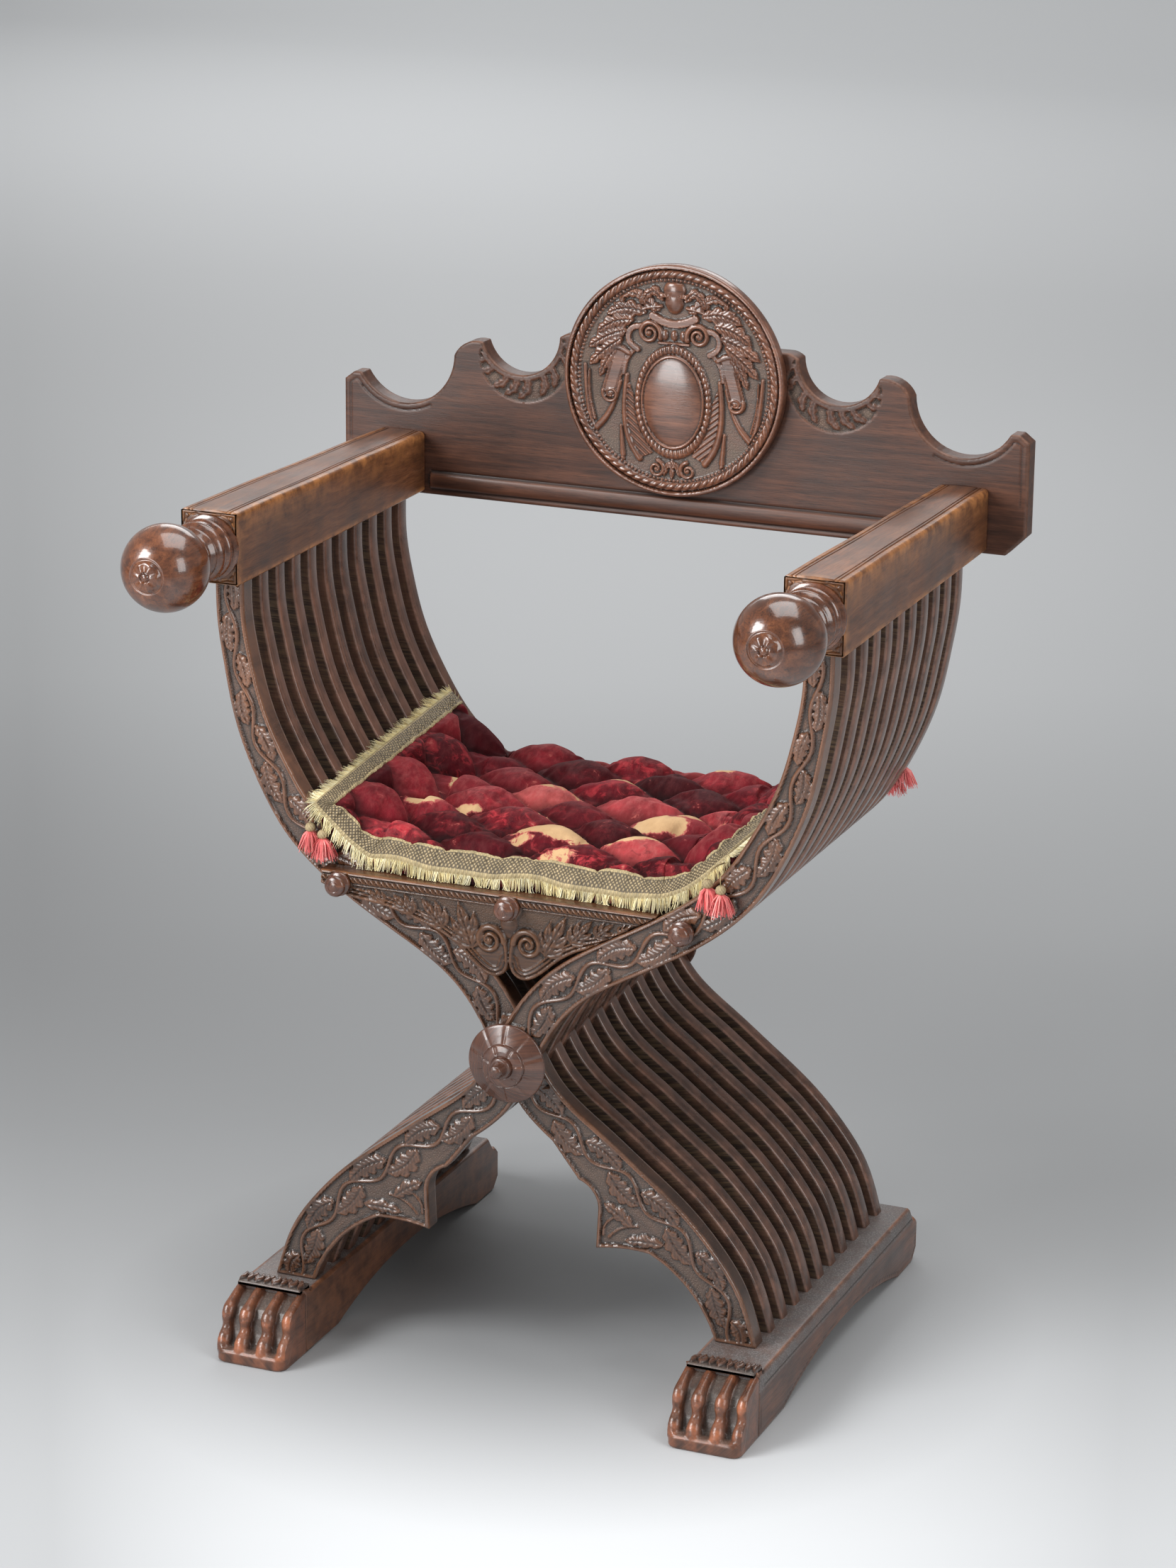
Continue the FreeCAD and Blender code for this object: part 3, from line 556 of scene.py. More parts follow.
wood = {name: makeWood(name, **values) for name, values in {
    # the staves' pale edge colour is rubbed wear with a painted glint along the arrises
    "stave": dict(tones=(22, 9, 7, 64, 25, 16, 125, 50, 30), rough=0.29, hatch=0.85, wearAndGlint=0.65,
                  wearAndGlintColour=(300, 140, 90), coat=0.6, gain=1.4, low=0.62),
    "carved": dict(tones=(30, 14, 10, 78, 34, 22, 150, 64, 38), rough=0.28, stipple=1.5, dustAndReflection=0.65, wearAndGlint=0.6,
                   wearAndGlintColour=(280, 130, 70), dustAndReflectionColour=(160, 105, 75), coat=0.65, gain=1.35),
    "slat": dict(tones=(20, 9, 6, 55, 22, 14, 100, 40, 24), along="x"),
    "apron": dict(tones=(30, 12, 7, 85, 34, 17, 160, 64, 28), along="x", rough=0.34, stipple=1.5, dustAndReflection=0.55,
                  wearAndGlint=0.55, wearAndGlintColour=(300, 125, 55), dustAndReflectionColour=(120, 75, 45), coat=0.15, gain=0.9),
    "turned": dict(tones=(34, 13, 10, 90, 33, 22, 170, 64, 38), rough=0.26, wearAndGlint=0.3, coat=0.7),
    "finial": dict(tones=(35, 11, 6, 95, 30, 14, 170, 58, 26), along="y", rough=0.20, wearAndGlint=0.3, coat=1.0, gain=1.3),
    "arm": dict(tones=(48, 18, 9, 112, 40, 18, 180, 72, 33), rough=0.38, coat=0.25, wearAndGlint=0.85,
                wearAndGlintColour=(460, 190, 60), gain=1.12),
    "board": dict(tones=(34, 13, 9, 88, 32, 20, 155, 58, 34), along="x", rough=0.46, stipple=1.5, dustAndReflection=0.75,
                  wearAndGlint=0.5, wearAndGlintColour=(260, 120, 70), dustAndReflectionColour=(340, 250, 190), coat=0.08, gain=1.02),
    "roundel": dict(tones=(40, 17, 12, 98, 38, 25, 170, 68, 42), along="x", rough=0.27, stipple=1.8, dustAndReflection=0.85,
                    wearAndGlint=0.4, wearAndGlintColour=(260, 115, 70), dustAndReflectionColour=(220, 155, 110), coat=0.75),
    # the runner's pale grey top is dust with a painted reflection
    "runner": dict(tones=(28, 13, 10, 75, 31, 21, 140, 58, 36), rough=0.34, wearAndGlint=0.9, wearAndGlintColour=(300, 120, 55),
                   stipple=0.2, dustAndReflection=0.9, dustAndReflectionColour=(260, 240, 235), coat=0.35, low=0.9),
    "paw": dict(tones=(24, 12, 10, 64, 28, 20, 120, 52, 34), rough=0.29, dustAndReflection=0.75, stipple=0.2, wearAndGlint=1.0,
                wearAndGlintColour=(380, 125, 55), dustAndReflectionColour=(170, 145, 125), coat=0.4, low=0.9)}.items()}
print("finishes made")


# staves

staveShape = {
    "upper": ((0.049, 0.061, 1.00), (0.180, 0.182, 0.97), (0.360, 0.266, 0.97), (0.603, 0.366, 0.98),
              (0.764, 0.465, 0.96), (0.854, 0.563, 0.90), (0.936, 0.693, 0.79), (0.974, 0.803, 0.71),
              (0.997, 0.900, 0.68), (1.000, 1.000, 0.68)),
    "lower": ((0.094, 0.156, 1.00), (0.326, 0.324, 0.97), (0.477, 0.425, 0.97), (0.692, 0.575, 0.97),
              (0.840, 0.713, 0.96), (0.927, 0.825, 0.96), (0.969, 0.916, 0.96), (1.000, 1.000, 0.96)),
    "bracket": ((0.060, 0.205), (0.282, 0.454), (0.344, 0.490), (0.371, 0.566), (0.363, 0.713),
                (0.500, 0.697), (0.603, 0.700), (0.760, 0.795), (0.905, 0.999)),
    "corner": 2.4, "stations": 120}


def staveLines(count):
    # centre line and both edges of a frame A stave from the arm to the runner
    rise, drop = place["armUnder"] - place["hub"], place["hub"] - place["runnerTop"]
    centre = [(r * place["armX"], place["hub"] + h * rise, w) for r, h, w in reversed(staveShape["upper"])]
    centre += [(-r * place["footX"], place["hub"] - h * drop, w) for r, h, w in staveShape["lower"]]
    centre = np.array(centre)
    sides = [[], []]
    for i, (x, z, w) in enumerate(centre):
        along = np.array([0.0, -1.0])
        if 0 < i < len(centre) - 1:
            along = centre[i + 1, :2] - centre[i - 1, :2]
            along /= np.linalg.norm(along)
        normal = np.array([-along[1], along[0]])
        sides[0].append(np.array([x, z]) + normal * w * place["waist"] / 2)
        sides[1].append(np.array([x, z]) - normal * w * place["waist"] / 2)
    return smoothLine(sides[0], count), smoothLine(sides[1], count)


def sweptStave(name, thickness):
    # rounded section swept between the two edges, at Y 0
    count = int(staveShape["stations"] / coarse)
    right, left = staveLines(count)
    along = runOf((right + left) / 2)
    r = staveShape["corner"]
    section = []      # across share, inset from that edge, rear side or front, inset from that side
    for corner, (sx, back) in enumerate(((1, 0), (1, 1), (-1, 1), (-1, 0))):
        for angle in np.radians((0, 30, 60, 90)):
            a, b = 1 - math.cos(angle), 1 - math.sin(angle)
            section.append((sx, r * b, back, r * a) if corner % 2 == 0 else (sx, r * a, back, r * b))
        if corner % 2 == 1:
            section += [(sx * t, 0.0, back, 0.0) for t in (0.5, 0.0, -0.5)]
    verts, uv, edge, side = [], [], [], []
    for i, (a, b) in enumerate(zip(right, left)):
        width = np.linalg.norm(a - b) / 2
        for sx, inset, back, insetY in section:
            corner = abs(sx) == 1
            offset = sx * width - (math.copysign(inset, sx) if corner else 0)
            point = (a + b) / 2 + (a - b) / 2 / width * offset
            verts.append((point[0], thickness - insetY if back else insetY, point[1]))
            uv.append((along[i], offset + (60 if back else 0)))
            edge.append(1.0 if corner and 0 < inset < r else (0.5 if corner else 0.0))
            side.append(0.0 if corner and inset < r * 0.9 else 1.0)
    obj = pieceFrom(name, verts, tube(count, len(section)))
    setPointValue(obj, "edge", edge)
    setPointValue(obj, "side", side)
    setUv(obj, np.array(uv) * mm)
    outward(obj)
    smoothShade(obj, 50)
    return obj


def bracketSpot(a, b):
    return np.array([-a * place["footX"], place["hub"] - b * (place["hub"] - place["runnerTop"])])


def carvedStaveOutline():
    # the outline and the centre line of a front stave with its bracket
    right, left = staveLines(320)
    spots = [bracketSpot(a, b) for a, b in staveShape["bracket"]]
    bracket = np.vstack([[spots[0]], arcPoints(*spots[1:4]), [spots[4]], arcPoints(*spots[4:7]),
                         arcPoints(*spots[6:9])])
    bracket = resample(bracket, 0.8)
    # the bracket lies on the side of the edge that faces the middle of the chair
    inner = right if toLine(np.array([spots[4]]), right)[0] < toLine(np.array([spots[4]]), left)[0] else left
    other = left if inner is right else right
    outside = bracket[~inside(bracket, np.vstack([inner, other[::-1]]))]
    first, last = (np.argmin(np.linalg.norm(inner - outside[k], axis=1)) for k in (0, -1))
    return np.vstack([inner[:first], outside, inner[last + 1:], other[::-1]]), (right + left) / 2


vine = {"wave": 66.0, "swing": 0.30, "stem": 1.9, "leafLength": 33.0, "leafWidth": 9.6, "relief": 3.0, "fillet": 3.4}


def carveStave(points, edgeDistance):
    dense = resample(carvedStaveOutline()[1], 4.0)
    total = runOf(dense)[-1]
    tangent = np.gradient(dense, axis=0)
    tangent /= np.linalg.norm(tangent, axis=1)[:, None]
    normal = np.stack([-tangent[:, 1], tangent[:, 0]], 1)
    right, left = staveLines(len(dense))
    half = np.linalg.norm(right - left, axis=1) / 2
    relief = vine["relief"]
    raised = soft((vine["fillet"] - edgeDistance) / 1.0 + 0.5) * relief
    phase = 2 * np.pi * np.linspace(0, total, len(dense)) / vine["wave"]
    stem = dense + normal * (np.sin(phase) * half * vine["swing"])[:, None]
    height = ridge(points, stem, vine["stem"], relief)
    s, sign = vine["wave"] * 0.10, -1
    while s < total - 16:
        k = int(s / total * (len(dense) - 1))
        reach = half[k] / (place["waist"] / 2)
        length = vine["leafLength"] * (0.62 + 0.38 * reach)
        k2 = min(len(dense) - 1, int((s + length) / total * (len(dense) - 1)))
        spine = [dense[i] + normal[i] * sign * half[i] * 0.36 * share
                 for i, share in ((k, 0.5), ((k + k2) // 2, 1.05), (k2, 0.75))]
        height = np.maximum(height, leaf(points, spine, vine["leafWidth"] * (0.55 + 0.45 * reach), relief * 1.05))
        s += vine["wave"] / 2
        sign = -sign
    # the bracket's own sprays
    for spine, width in ((((0.52, 0.60), (0.46, 0.56), (0.395, 0.53)), 7.5),
                         (((0.66, 0.655), (0.57, 0.655), (0.49, 0.665)), 7.0)):
        height = np.maximum(height, leaf(points, [bracketSpot(*p) for p in spine], width, relief, lobes=3))
    for line in (((0.55, 0.60), (0.47, 0.62), (0.42, 0.66)), ((0.44, 0.58), (0.40, 0.62), (0.395, 0.655))):
        height = np.maximum(height, ridge(points, smoothLine([bracketSpot(*p) for p in line], 12), 1.4, 1.8))
    ground = (1 - soft(height / 0.7)) * (1 - soft(raised / 0.8))
    hubClear = soft((np.hypot(points[:, 0], points[:, 1] - place["hub"]) - 30) / 6)
    return (np.maximum(height, raised) - relief) * hubClear, ground * hubClear


def makeStaves():
    plain = sweptStave("plainStave", place["plain"])
    outline, centre = carvedStaveOutline()
    centreLine = resample(centre, 6.0)

    def grain(points):
        d, along, side = toLine(points, centreLine)
        return np.stack([along, d * side], 1)

    carved = carvedPlate("carvedStave", outline, 0.0, place["carved"], carveStave, step=1.15, rounding=1.8, grain=grain)
    for i in range(place["pairs"]):
        source, kind = (plain, "stave") if i else (carved, "carved")
        for letter, front in (("a", frontsA[i]), ("b", frontsB[i])):
            piece = copyPiece(source, "stave%s%02d" % (letter.upper(), i + 1), front, mirror=letter == "b")
            dress(piece, "frame_" + letter, wood[kind], ["stave_%s_%02d" % (letter, i + 1)])
    for start in (plain, carved):
        bpy.data.objects.remove(start, do_unlink=True)
    print("staves made")


makeStaves()


# apron

apron = {
    "end": 174.0, "relief": 2.6, "ropeZ": 429.5, "ropePitch": 5.0,
    "low": ((0, 377), (3.2, 368.5), (12, 363.3), (25, 367.5), (44, 383.5), (60, 394), (89, 404.5), (116, 411.5),
            (148, 415.5), (174, 424)),
    # each leaf's root, tip and spread
    "leaves": (((-33, 386), (-47, 425), 15.5), ((-60, 400), (-81, 423), 12.5), ((-88, 408), (-107, 423), 10.5),
               ((-114, 414), (-132, 424), 7.0), ((33, 388), (52, 425), 13.5), ((56, 402), (76, 425), 10.0),
               ((78, 411), (95, 425), 7.5), ((98, 417), (112, 426), 5.0))}


def apronOutline():
    right = smoothLine(apron["low"], 120)
    ends = [(side * apron["end"], place["seatTop"]) for side in (1, -1)]
    return np.vstack([mirrored(right)[::-1], right, ends])


def trimmedApron():
    # the right end rests on the stave of its own layer, 0.5 mm clear
    outline, top = apronOutline(), place["seatTop"]
    rightEdge, leftEdge = staveLines(300)
    edge = np.vstack([leftEdge, rightEdge[::-1]])
    keep = ~inside(outline, edge) & (toLine(outline, np.vstack([edge, edge[:1]]))[0] > 0.5) & (outline[:, 0] < 140)
    points = outline[keep]
    lastLow = points[np.argmax(np.where(points[:, 1] < top - 1, points[:, 0], -1e9))]
    beside = (leftEdge[:, 1] < top - 0.4) & (leftEdge[:, 0] > max(60, lastLow[0])) & (leftEdge[:, 0] < 150)
    cut = leftEdge[beside] + np.array([-0.45, 0.45])
    cut = cut[np.argsort(cut[:, 0])]
    index = int(np.where((points == lastLow).all(1))[0][0])
    return np.vstack([points[:index + 1], cut, [(cut[-1][0], top)], [(-apron["end"], top)]])


def carveApron(points, edgeDistance):
    x, z = points[:, 0], points[:, 1]
    relief, rope = apron["relief"], apron["ropeZ"]
    outline = apronOutline()
    fromLow = toLine(points, outline[outline[:, 1] < place["seatTop"] - 1])[0]
    # three mouldings along the lower edge, the rope, and the lines on both sides of it
    lean = (x + (z - rope) * 1.1) / apron["ropePitch"]
    forms = [soft((3.0 - fromLow) / 1.0 + 0.5) * relief, soft((z - 433.2) / 0.8) * relief,
             relief * (0.25 + 0.85 * np.abs(np.cos(np.pi * lean)) ** 0.7) * bead(z - rope, 2.7),
             bead(z - 425.6, 0.9) * relief * 0.5]
    forms += [bead(fromLow - off, half) * relief * 0.8 * (np.abs(x) < 150) for off, half in ((5.0, 1.3), (8.2, 1.1))]
    for sign in (-1, 1):
        q = points * np.array([sign, 1.0])
        forms += [ridge(q, smoothLine(((1.9, 378), (2.2, 386), (4.2, 396)), 12), 2.0, relief * 1.3),
                  volute(q, (17.4, 394.5), 13.2, 1.8, 180, -1, 3.3, relief * 1.55)]
    forms += [acanthus(points, root, tip, spread, relief * 1.35) for root, tip, spread in apron["leaves"]]
    forms += [dome(points, (0, 411), (8, 13), relief * 1.1), dome(points, (0, 376), (34, 19), 1.2, 0.2) * (fromLow > 3)]
    h = np.maximum.reduce(forms)
    pins = np.min([np.hypot(x - kx, z - place["pinZ"]) for kx in (-place["pinX"], 0, place["pinX"])], axis=0)
    flatten = soft((12 - pins) / 1.5)
    ground = (1 - soft(h / 0.8)) * (1 - flatten)
    return h * (1 - flatten) + relief * 0.6 * flatten - relief, ground


seatApron = carvedPlate("seatApron", trimmedApron(), frontsA[0], frontsA[0] + place["carved"], carveApron,
                        step=1.0, rounding=1.4)
dress(seatApron, "left_leaf", wood["apron"], ["seat_apron"])
print("apron made")


# turned pieces

def turnedPiece(name, profile, centre, direction, steps=64, shape=None, angle=45):
    # profile of (radius, distance) spun about an axis along Y, distances counted along direction
    x, y, z = centre
    obj = pieceFrom(name, [(x + r, y + direction * d, z) for r, d in profile], [],
                    [(i, i + 1) for i in range(len(profile) - 1)])
    makeActive(obj)
    bpy.ops.object.mode_set(mode="EDIT")
    bpy.ops.mesh.select_all(action="SELECT")
    bpy.ops.mesh.spin(steps=int(steps / (1 if coarse == 1 else 1.6)), angle=2 * math.pi,
                      center=[c * mm for c in centre], axis=(0, 1, 0))
    bpy.ops.mesh.select_all(action="SELECT")
    bpy.ops.mesh.remove_doubles(threshold=0.00002)
    outward(obj)
    co = placesOf(obj)
    r, turn = np.hypot(co[:, 0] - x, co[:, 2] - z), np.arctan2(co[:, 2] - z, co[:, 0] - x)
    d = direction * (co[:, 1] - y)
    if shape:
        co[:, 1] += direction * shape(r, turn, d)
        setPlaces(obj, co)
    setUv(obj, np.stack([d, turn * np.maximum(r, 4)], 1) * mm)
    smoothShade(obj, angle)
    return obj


def finePoints(profile, step=0.7):
    return [tuple(p) for p in resample(np.array(profile, float), step * coarse)]


boss = {"radius": 35.0, "petals": 10, "rings": 7}


def bossGrooves(r, angle, d):
    # shallow petal cuts on the dish and on the ring round the nub
    outer = np.abs(((angle / (2 * np.pi) * boss["petals"]) % 1) - 0.5) * 2 * np.pi * r / boss["petals"] / 2
    inner = np.abs(((angle / (2 * np.pi) * boss["rings"] + 0.3) % 1) - 0.5) * 2 * np.pi * r / boss["rings"] / 2
    cut = 0.8 * np.exp(-(outer / 0.55) ** 2) * (r > 19.5) * (r < 34) * (d > 2)
    cut += 0.7 * np.exp(-(inner / 0.55) ** 2) * (r > 11) * (r < 18.2) * (d > 6)
    return -cut


def makeBosses():
    profile = [(7.3, 0), (33.6, 0), (34.6, 0.5), (35, 1.6), (34.6, 2.8), (33.4, 3.6), (26, 7.2), (19.8, 9.6),
               (19.3, 9.3), (18.9, 10.2), (18.3, 11.4), (14, 12.6), (10.2, 13.1), (9.9, 12.7), (9.6, 13.6), (9.4, 16),
               (8.6, 17.2), (7.0, 17.4), (6.6, 18.4), (6.3, 21), (6.1, 25), (5.2, 27.2), (3.0, 28), (0.0, 28)]
    for side, y, direction in (("front", place["front"], -1), ("rear", stackRear + place["gap"], 1)):
        obj = turnedPiece(side + "Boss", finePoints(profile), (0, y, place["hub"]), direction, 150, bossGrooves)
        dress(obj, "frame_a", wood["turned"], [side + "_boss"])


def makeSeatRods():
    knob = [(10.3, 0), (10.5, 0.6), (10.5, 2.6), (9.9, 3.4), (8.2, 3.9), (7.4, 4.6), (7.6, 5.4), (8.8, 6.8),
            (9.4, 8.4), (9.2, 10.0), (7.6, 11.8), (5.0, 12.7), (4.4, 12.4), (3.6, 12.9), (0, 13)]
    spots = (("left", -place["pinX"], "frame_b", stackRear), ("centre", 0.0, "left_leaf", frontsA[-1] + place["plain"]),
             ("right", place["pinX"], "frame_a", stackRear))
    for side, x, body, rear in spots:
        back = place["front"] - rear
        profile = [(0, back), (4.2, back), (5, back + 0.8), (5, -0.01)] + knob
        obj = turnedPiece(side + "SeatKnob", profile, (x, place["front"], place["pinZ"]), -1, 40, angle=40)
        dress(obj, body, wood["turned"], [side + "_seat_rod"])


def rosette(r, angle, d):
    # small carved flower on the front of the ball
    h = 1.3 * soft((12.5 - r) / 1.5) * (0.625 + 0.375 * np.cos(6 * angle)) * soft((r - 3.6) / 1.0)
    return (h + 1.5 * bead(r, 3.4) - 1.2 * groove(r - 14.0, 1.1) - 0.7 * groove(r - 4.1, 0.6)) * (d > 100)


def makeFinials():
    profile = [(0, -30), (11, -30), (11, 0), (27.0, 0), (28.2, 1.4), (28.0, 3.4), (26.4, 4.6), (24.2, 5.2), (23.6, 6.4),
               (25.4, 7.6), (26.2, 9.6), (25.6, 11.8), (23.4, 13.2), (20.6, 14.2), (19.8, 15.4), (20.8, 16.6),
               (24.4, 18), (26.0, 20.4), (26.2, 23), (25.0, 25.6), (22.6, 27.2), (21.4, 28.4), (22.4, 29.4),
               (23.0, 31), (22.0, 33), (19.4, 34.6), (18.6, 37), (19.0, 40)]
    start = math.asin(19.0 / 37)
    ball = [(37 * math.sin(a), 78 - 37 * math.cos(a)) for a in (start + (math.pi - start) * k / 40 for k in range(41))]
    tip = [p for p in finePoints(ball, 0.9) if p[1] < 104] + finePoints([p for p in ball if p[1] >= 103], 0.5)
    right = turnedPiece("rightFinial", profile + tip[1:], (place["armX"], place["armFront"], place["finialZ"]), -1, 96,
                        rosette)
    left = copyPiece(right, "leftFinial", mirror=True)
    dress(right, "frame_a", wood["finial"], ["right_finial"])
    dress(left, "frame_b", wood["finial"], ["left_finial"])
    print("turned pieces made")


makeBosses()
makeSeatRods()
makeFinials()


# arms

arm = {"frontWidth": 53.0, "rearWidth": 46.0, "frontHeight": 63.0, "rearHeight": 55.0, "front": -143.0,
       "rear": 237.6, "corner": 4.0, "line": 7.0, "lineDepth": 1.1}


def armSection(width, height):
    # rounded rectangle with two incised lines near each long top edge, from the outer foot round to the inner foot
    w, h, r, g = width / 2, height, arm["corner"], arm["lineDepth"]
    a = arm["line"] - w
    points = [(-w + 5, 0), (-w + 1.5, 0), (-w, 1.5), (-w, 6), (-w, h * 0.5), (-w, h - r - 5), (-w, h - r)]
    points += [(-w + r - r * math.cos(math.radians(t)), h - r + r * math.sin(math.radians(t))) for t in (22, 45, 68)]
    points += [(-w + r, h), (a - 1.6, h), (a - 1.0, h), (a, h - g), (a + 1.0, h), (a + 2.4, h), (a + 3.2, h - g * 0.7),
               (a + 4.0, h)]
    return np.array(points + [(-6, h + 0.2), (0, h + 0.3), (6, h + 0.2)] + [(-x, z) for x, z in reversed(points)])


def makeArm(name):
    count = int(60 / coarse) + 2
    verts, uv, edge = [], [], []
    for k, t in enumerate(np.linspace(0, 1, count)):
        width, height, y = (arm[a] + (arm[b] - arm[a]) * t for a, b in (
            ("frontWidth", "rearWidth"), ("frontHeight", "rearHeight"), ("front", "rear")))
        section = armSection(width, height)
        if k in (0, count - 1):
            section = (section - (0, height / 2)) * (1 - 3.0 / width) + (0, height / 2)
        y = {1: arm["front"] + 1.3, count - 2: arm["rear"] - 1.3}.get(k, y)
        wobble = 0.25 * np.sin(y / 31.0 + section[:, 0] / 9)
        for (x, z), shift in zip(section, wobble):
            verts.append((place["armX"] + x, y, place["armUnder"] + z + (shift if z > height - 8 else 0)))
            uv.append((y, x + z))
            fromSide = abs(abs(x) - width / 2)
            corner = fromSide < arm["corner"] * 0.75 and (z > height - arm["corner"] * 1.1 or z < 2)
            close = fromSide < 8 and z > height - arm["corner"] - 6
            edge.append(1.0 if corner else 0.75 if k < 2 else 0.5 if close else 0.0)
    obj = pieceFrom(name, verts, tube(count, len(section)))
    setPointValue(obj, "edge", edge)
    setUv(obj, np.array(uv) * mm)
    outward(obj)
    smoothShade(obj, 38)
    return obj


def carveArmEnd(points, edgeDistance):
    # lunette round the collar, with cut corners
    x, z = points[:, 0] - place["armX"], points[:, 1] - place["finialZ"]
    h = -0.9 * groove(np.hypot(x, z) - 30.2, 0.9) - 0.8 * groove(edgeDistance - 3.2, 0.7)
    for a in np.radians((35, 55, 125, 145, 215, 235, 305, 325)):
        off, ahead = math.cos(a) * z - math.sin(a) * x, math.cos(a) * x + math.sin(a) * z
        h -= 0.8 * groove(off, 0.7) * (ahead > 31) * (edgeDistance > 3)
    return h, np.zeros(len(points))


def makeArms():
    right = makeArm("rightArm")
    left = copyPiece(right, "leftArm", mirror=True)
    dress(right, "frame_a", wood["arm"], ["right_arm"])
    dress(left, "frame_b", wood["arm"], ["left_arm"])
    corners = [(place["armX"] + 25.2 * x, place["armUnder"] + 1.4 + 60.0 * z)
               for x, z in ((-1, 0), (1, 0), (1, 1), (-1, 1))]
    cap = carvedPlate("rightArmEnd", np.array(corners), arm["front"] - 0.9, arm["front"] + 1, carveArmEnd,
                      step=0.8, rounding=0.8)
    other = copyPiece(cap, "leftArmEnd", mirror=True)
    dress(cap, "frame_a", wood["arm"])
    dress(other, "frame_b", wood["arm"])
    print("arms made")


makeArms()


# back board and roundel

board = {
    "half": 325.0, "bottom": 676.0, "chamfer": 18.0, "corner": 776.0, "tip": 783.0, "peak": 821.0, "shoulder": 836.0,
    "line": 6.0, "lineDepth": 0.9, "railZ": 689.5, "railHalf": 7.5, "railEnd": 239.0, "spray": 24.0}


def boardOutline():
    # the outline, and its long scallop beside the roundel
    h, p, c, b, shoulder = (board[key] for key in ("half", "peak", "corner", "chamfer", "shoulder"))
    spots = [(0.948, board["tip"]), (0.797, p - 0.43 * (p - board["bottom"])), (0.665, p - b * 0.8),
             (0.638, p - b * 0.22), (0.578, p), (0.462, p - 0.6 * (p - c)), (0.348, shoulder - b * 0.25),
             (0.333, shoulder - b * 0.08), (0.318, shoulder)]
    spots = [(share * h, z) for share, z in spots]
    foot = [(0, board["bottom"]), (h - b, board["bottom"]), (h, board["bottom"] + b), (h, c), (0.972 * h, board["tip"])]
    arcs = [arcPoints(*spots[k:k + 3], count)[1:] for k, count in ((0, 24), (2, 8), (4, 24), (6, 5))]
    half = np.vstack([foot, spots[:1], *arcs])
    return np.vstack([half, mirrored(half)[::-1][:-1]]), arcs[2]


def carveBoard(points, edgeDistance):
    x, z = points[:, 0], points[:, 1]
    line = boardOutline()[1][::-1]
    ground = np.zeros(len(points))
    h = -board["lineDepth"] * groove(edgeDistance - board["line"], 0.75) * soft((z - 716) / 8)
    # rail along the foot of the board, with a cut line on each side of it
    within = soft((board["railEnd"] - np.abs(x)) / 0.8 + 0.5)
    up = z - board["railZ"]
    h = np.where(within > 0.5, np.maximum(h, 3.0 * bead(up, board["railHalf"])), h)
    h -= within * (0.8 * groove(up - 9.0, 0.8) + 0.6 * groove(up + 9.0, 0.8))
    for sign in (-1, 1):
        q = points * np.array([sign, 1.0])
        d, along, _ = toLine(q, line)
        t = np.clip(along / runOf(line)[-1], 0, 1)
        width = board["spray"] * np.sin(np.pi * np.clip(t * 0.96 + 0.02, 0, 1)) ** 0.75
        below = (q[:, 0] > 100) & (q[:, 0] < 196)
        sunk = soft((width - d) / 1.4 + 0.5) * below * soft((d - 2.6) / 1.0)
        spray = bead(d - 4.2, 1.6) * 1.8 * below * (width > 6)
        for u in (np.arange(9) + 0.7) / 9.4:
            k = int(u * (len(line) - 1))
            ahead = line[min(len(line) - 1, k + 1)] - line[k]
            ahead = ahead / (np.linalg.norm(ahead) + 1e-9)
            down = np.array([ahead[1], -ahead[0]])
            down = -down if down[1] > 0 else down
            length = 17.5 * math.sin(math.pi * min(0.93, max(0.12, u))) ** 0.6
            a = line[k] + down * 3.5
            spine = (a, a + (down + ahead * 0.3) * length * 0.55, a + (down + ahead * 0.75) * length * 0.98)
            spray = np.maximum(spray, leaf(q, spine, 5.6 * (0.6 + 0.4 * math.sin(math.pi * u)), 2.0, lobes=3))
        h = h * (1 - sunk) + sunk * (-1.7 + spray * 1.05)
        ground = np.maximum(ground, sunk * (1 - soft(spray / 0.5)))
    return h, ground


backBoard = carvedPlate("backBoard", boardOutline()[0], place["boardFront"], place["boardBack"], carveBoard, step=1.35)
dress(backBoard, "back", wood["board"], ["back_board"])
print("board made")


roundel = {
    "radius": 104.0, "z": 804.0, "front": 226.0, "ground": 4.2, "rope": 76, "pearls": 150,
    # straps of the right half: line, half-width, height
    "straps": ((((31, 47), (39, 45), (43, 38), (40, 30), (34, 26)), 24, 2.6, 3.0),
               (((36, 27), (44, 17), (47, 4)), 16, 2.2, 2.6), (((42, 22), (48, 25), (56, 26), (61, 20)), 14, 2.0, 3.4)),
    # tapering ends of the hanging ribbons: line, both half-widths, height
    "ribbons": ((((84, 8), (82, -16), (76, -50)), 1.8, 3.4), (((76, -51), (64, -38), (50, -4)), 3.4, 1.8),
                (((80, 4), (79, -18), (74, -40)), 1.0, 1.4)),
    "volutes": (((15, -80), 7.8, 1.5, 100, 1, 2.2, 3.2), ((23, 41.5), 11.0, 1.8, 200, -1, 2.9, 4.2),
                ((59, -16), 7.8, 1.5, 20, -1, 2.2, 4.0)),
    # oak and acanthus leaves, from the acorn outwards: spine, width, height
    "leaves": ((((11, 72), (19, 79), (27, 73), (29, 65)), 5.4, 4.6), (((15, 63), (27, 70), (36, 80)), 7.0, 3.6),
               (((30, 72), (40, 76), (49, 72), (47, 65)), 5.2, 4.2), (((28, 60), (45, 62), (64, 55)), 8.2, 4.0),
               (((40, 52), (56, 49), (73, 38)), 8.4, 4.4), (((46, 42), (62, 36), (81, 24)), 8.4, 4.0),
               (((50, 34), (64, 24), (80, 8)), 7.6, 4.3), (((54, 26), (63, 14), (70, -2)), 6.0, 3.5),
               (((43, 50), (52, 62), (58, 66)), 5.6, 3.4))}


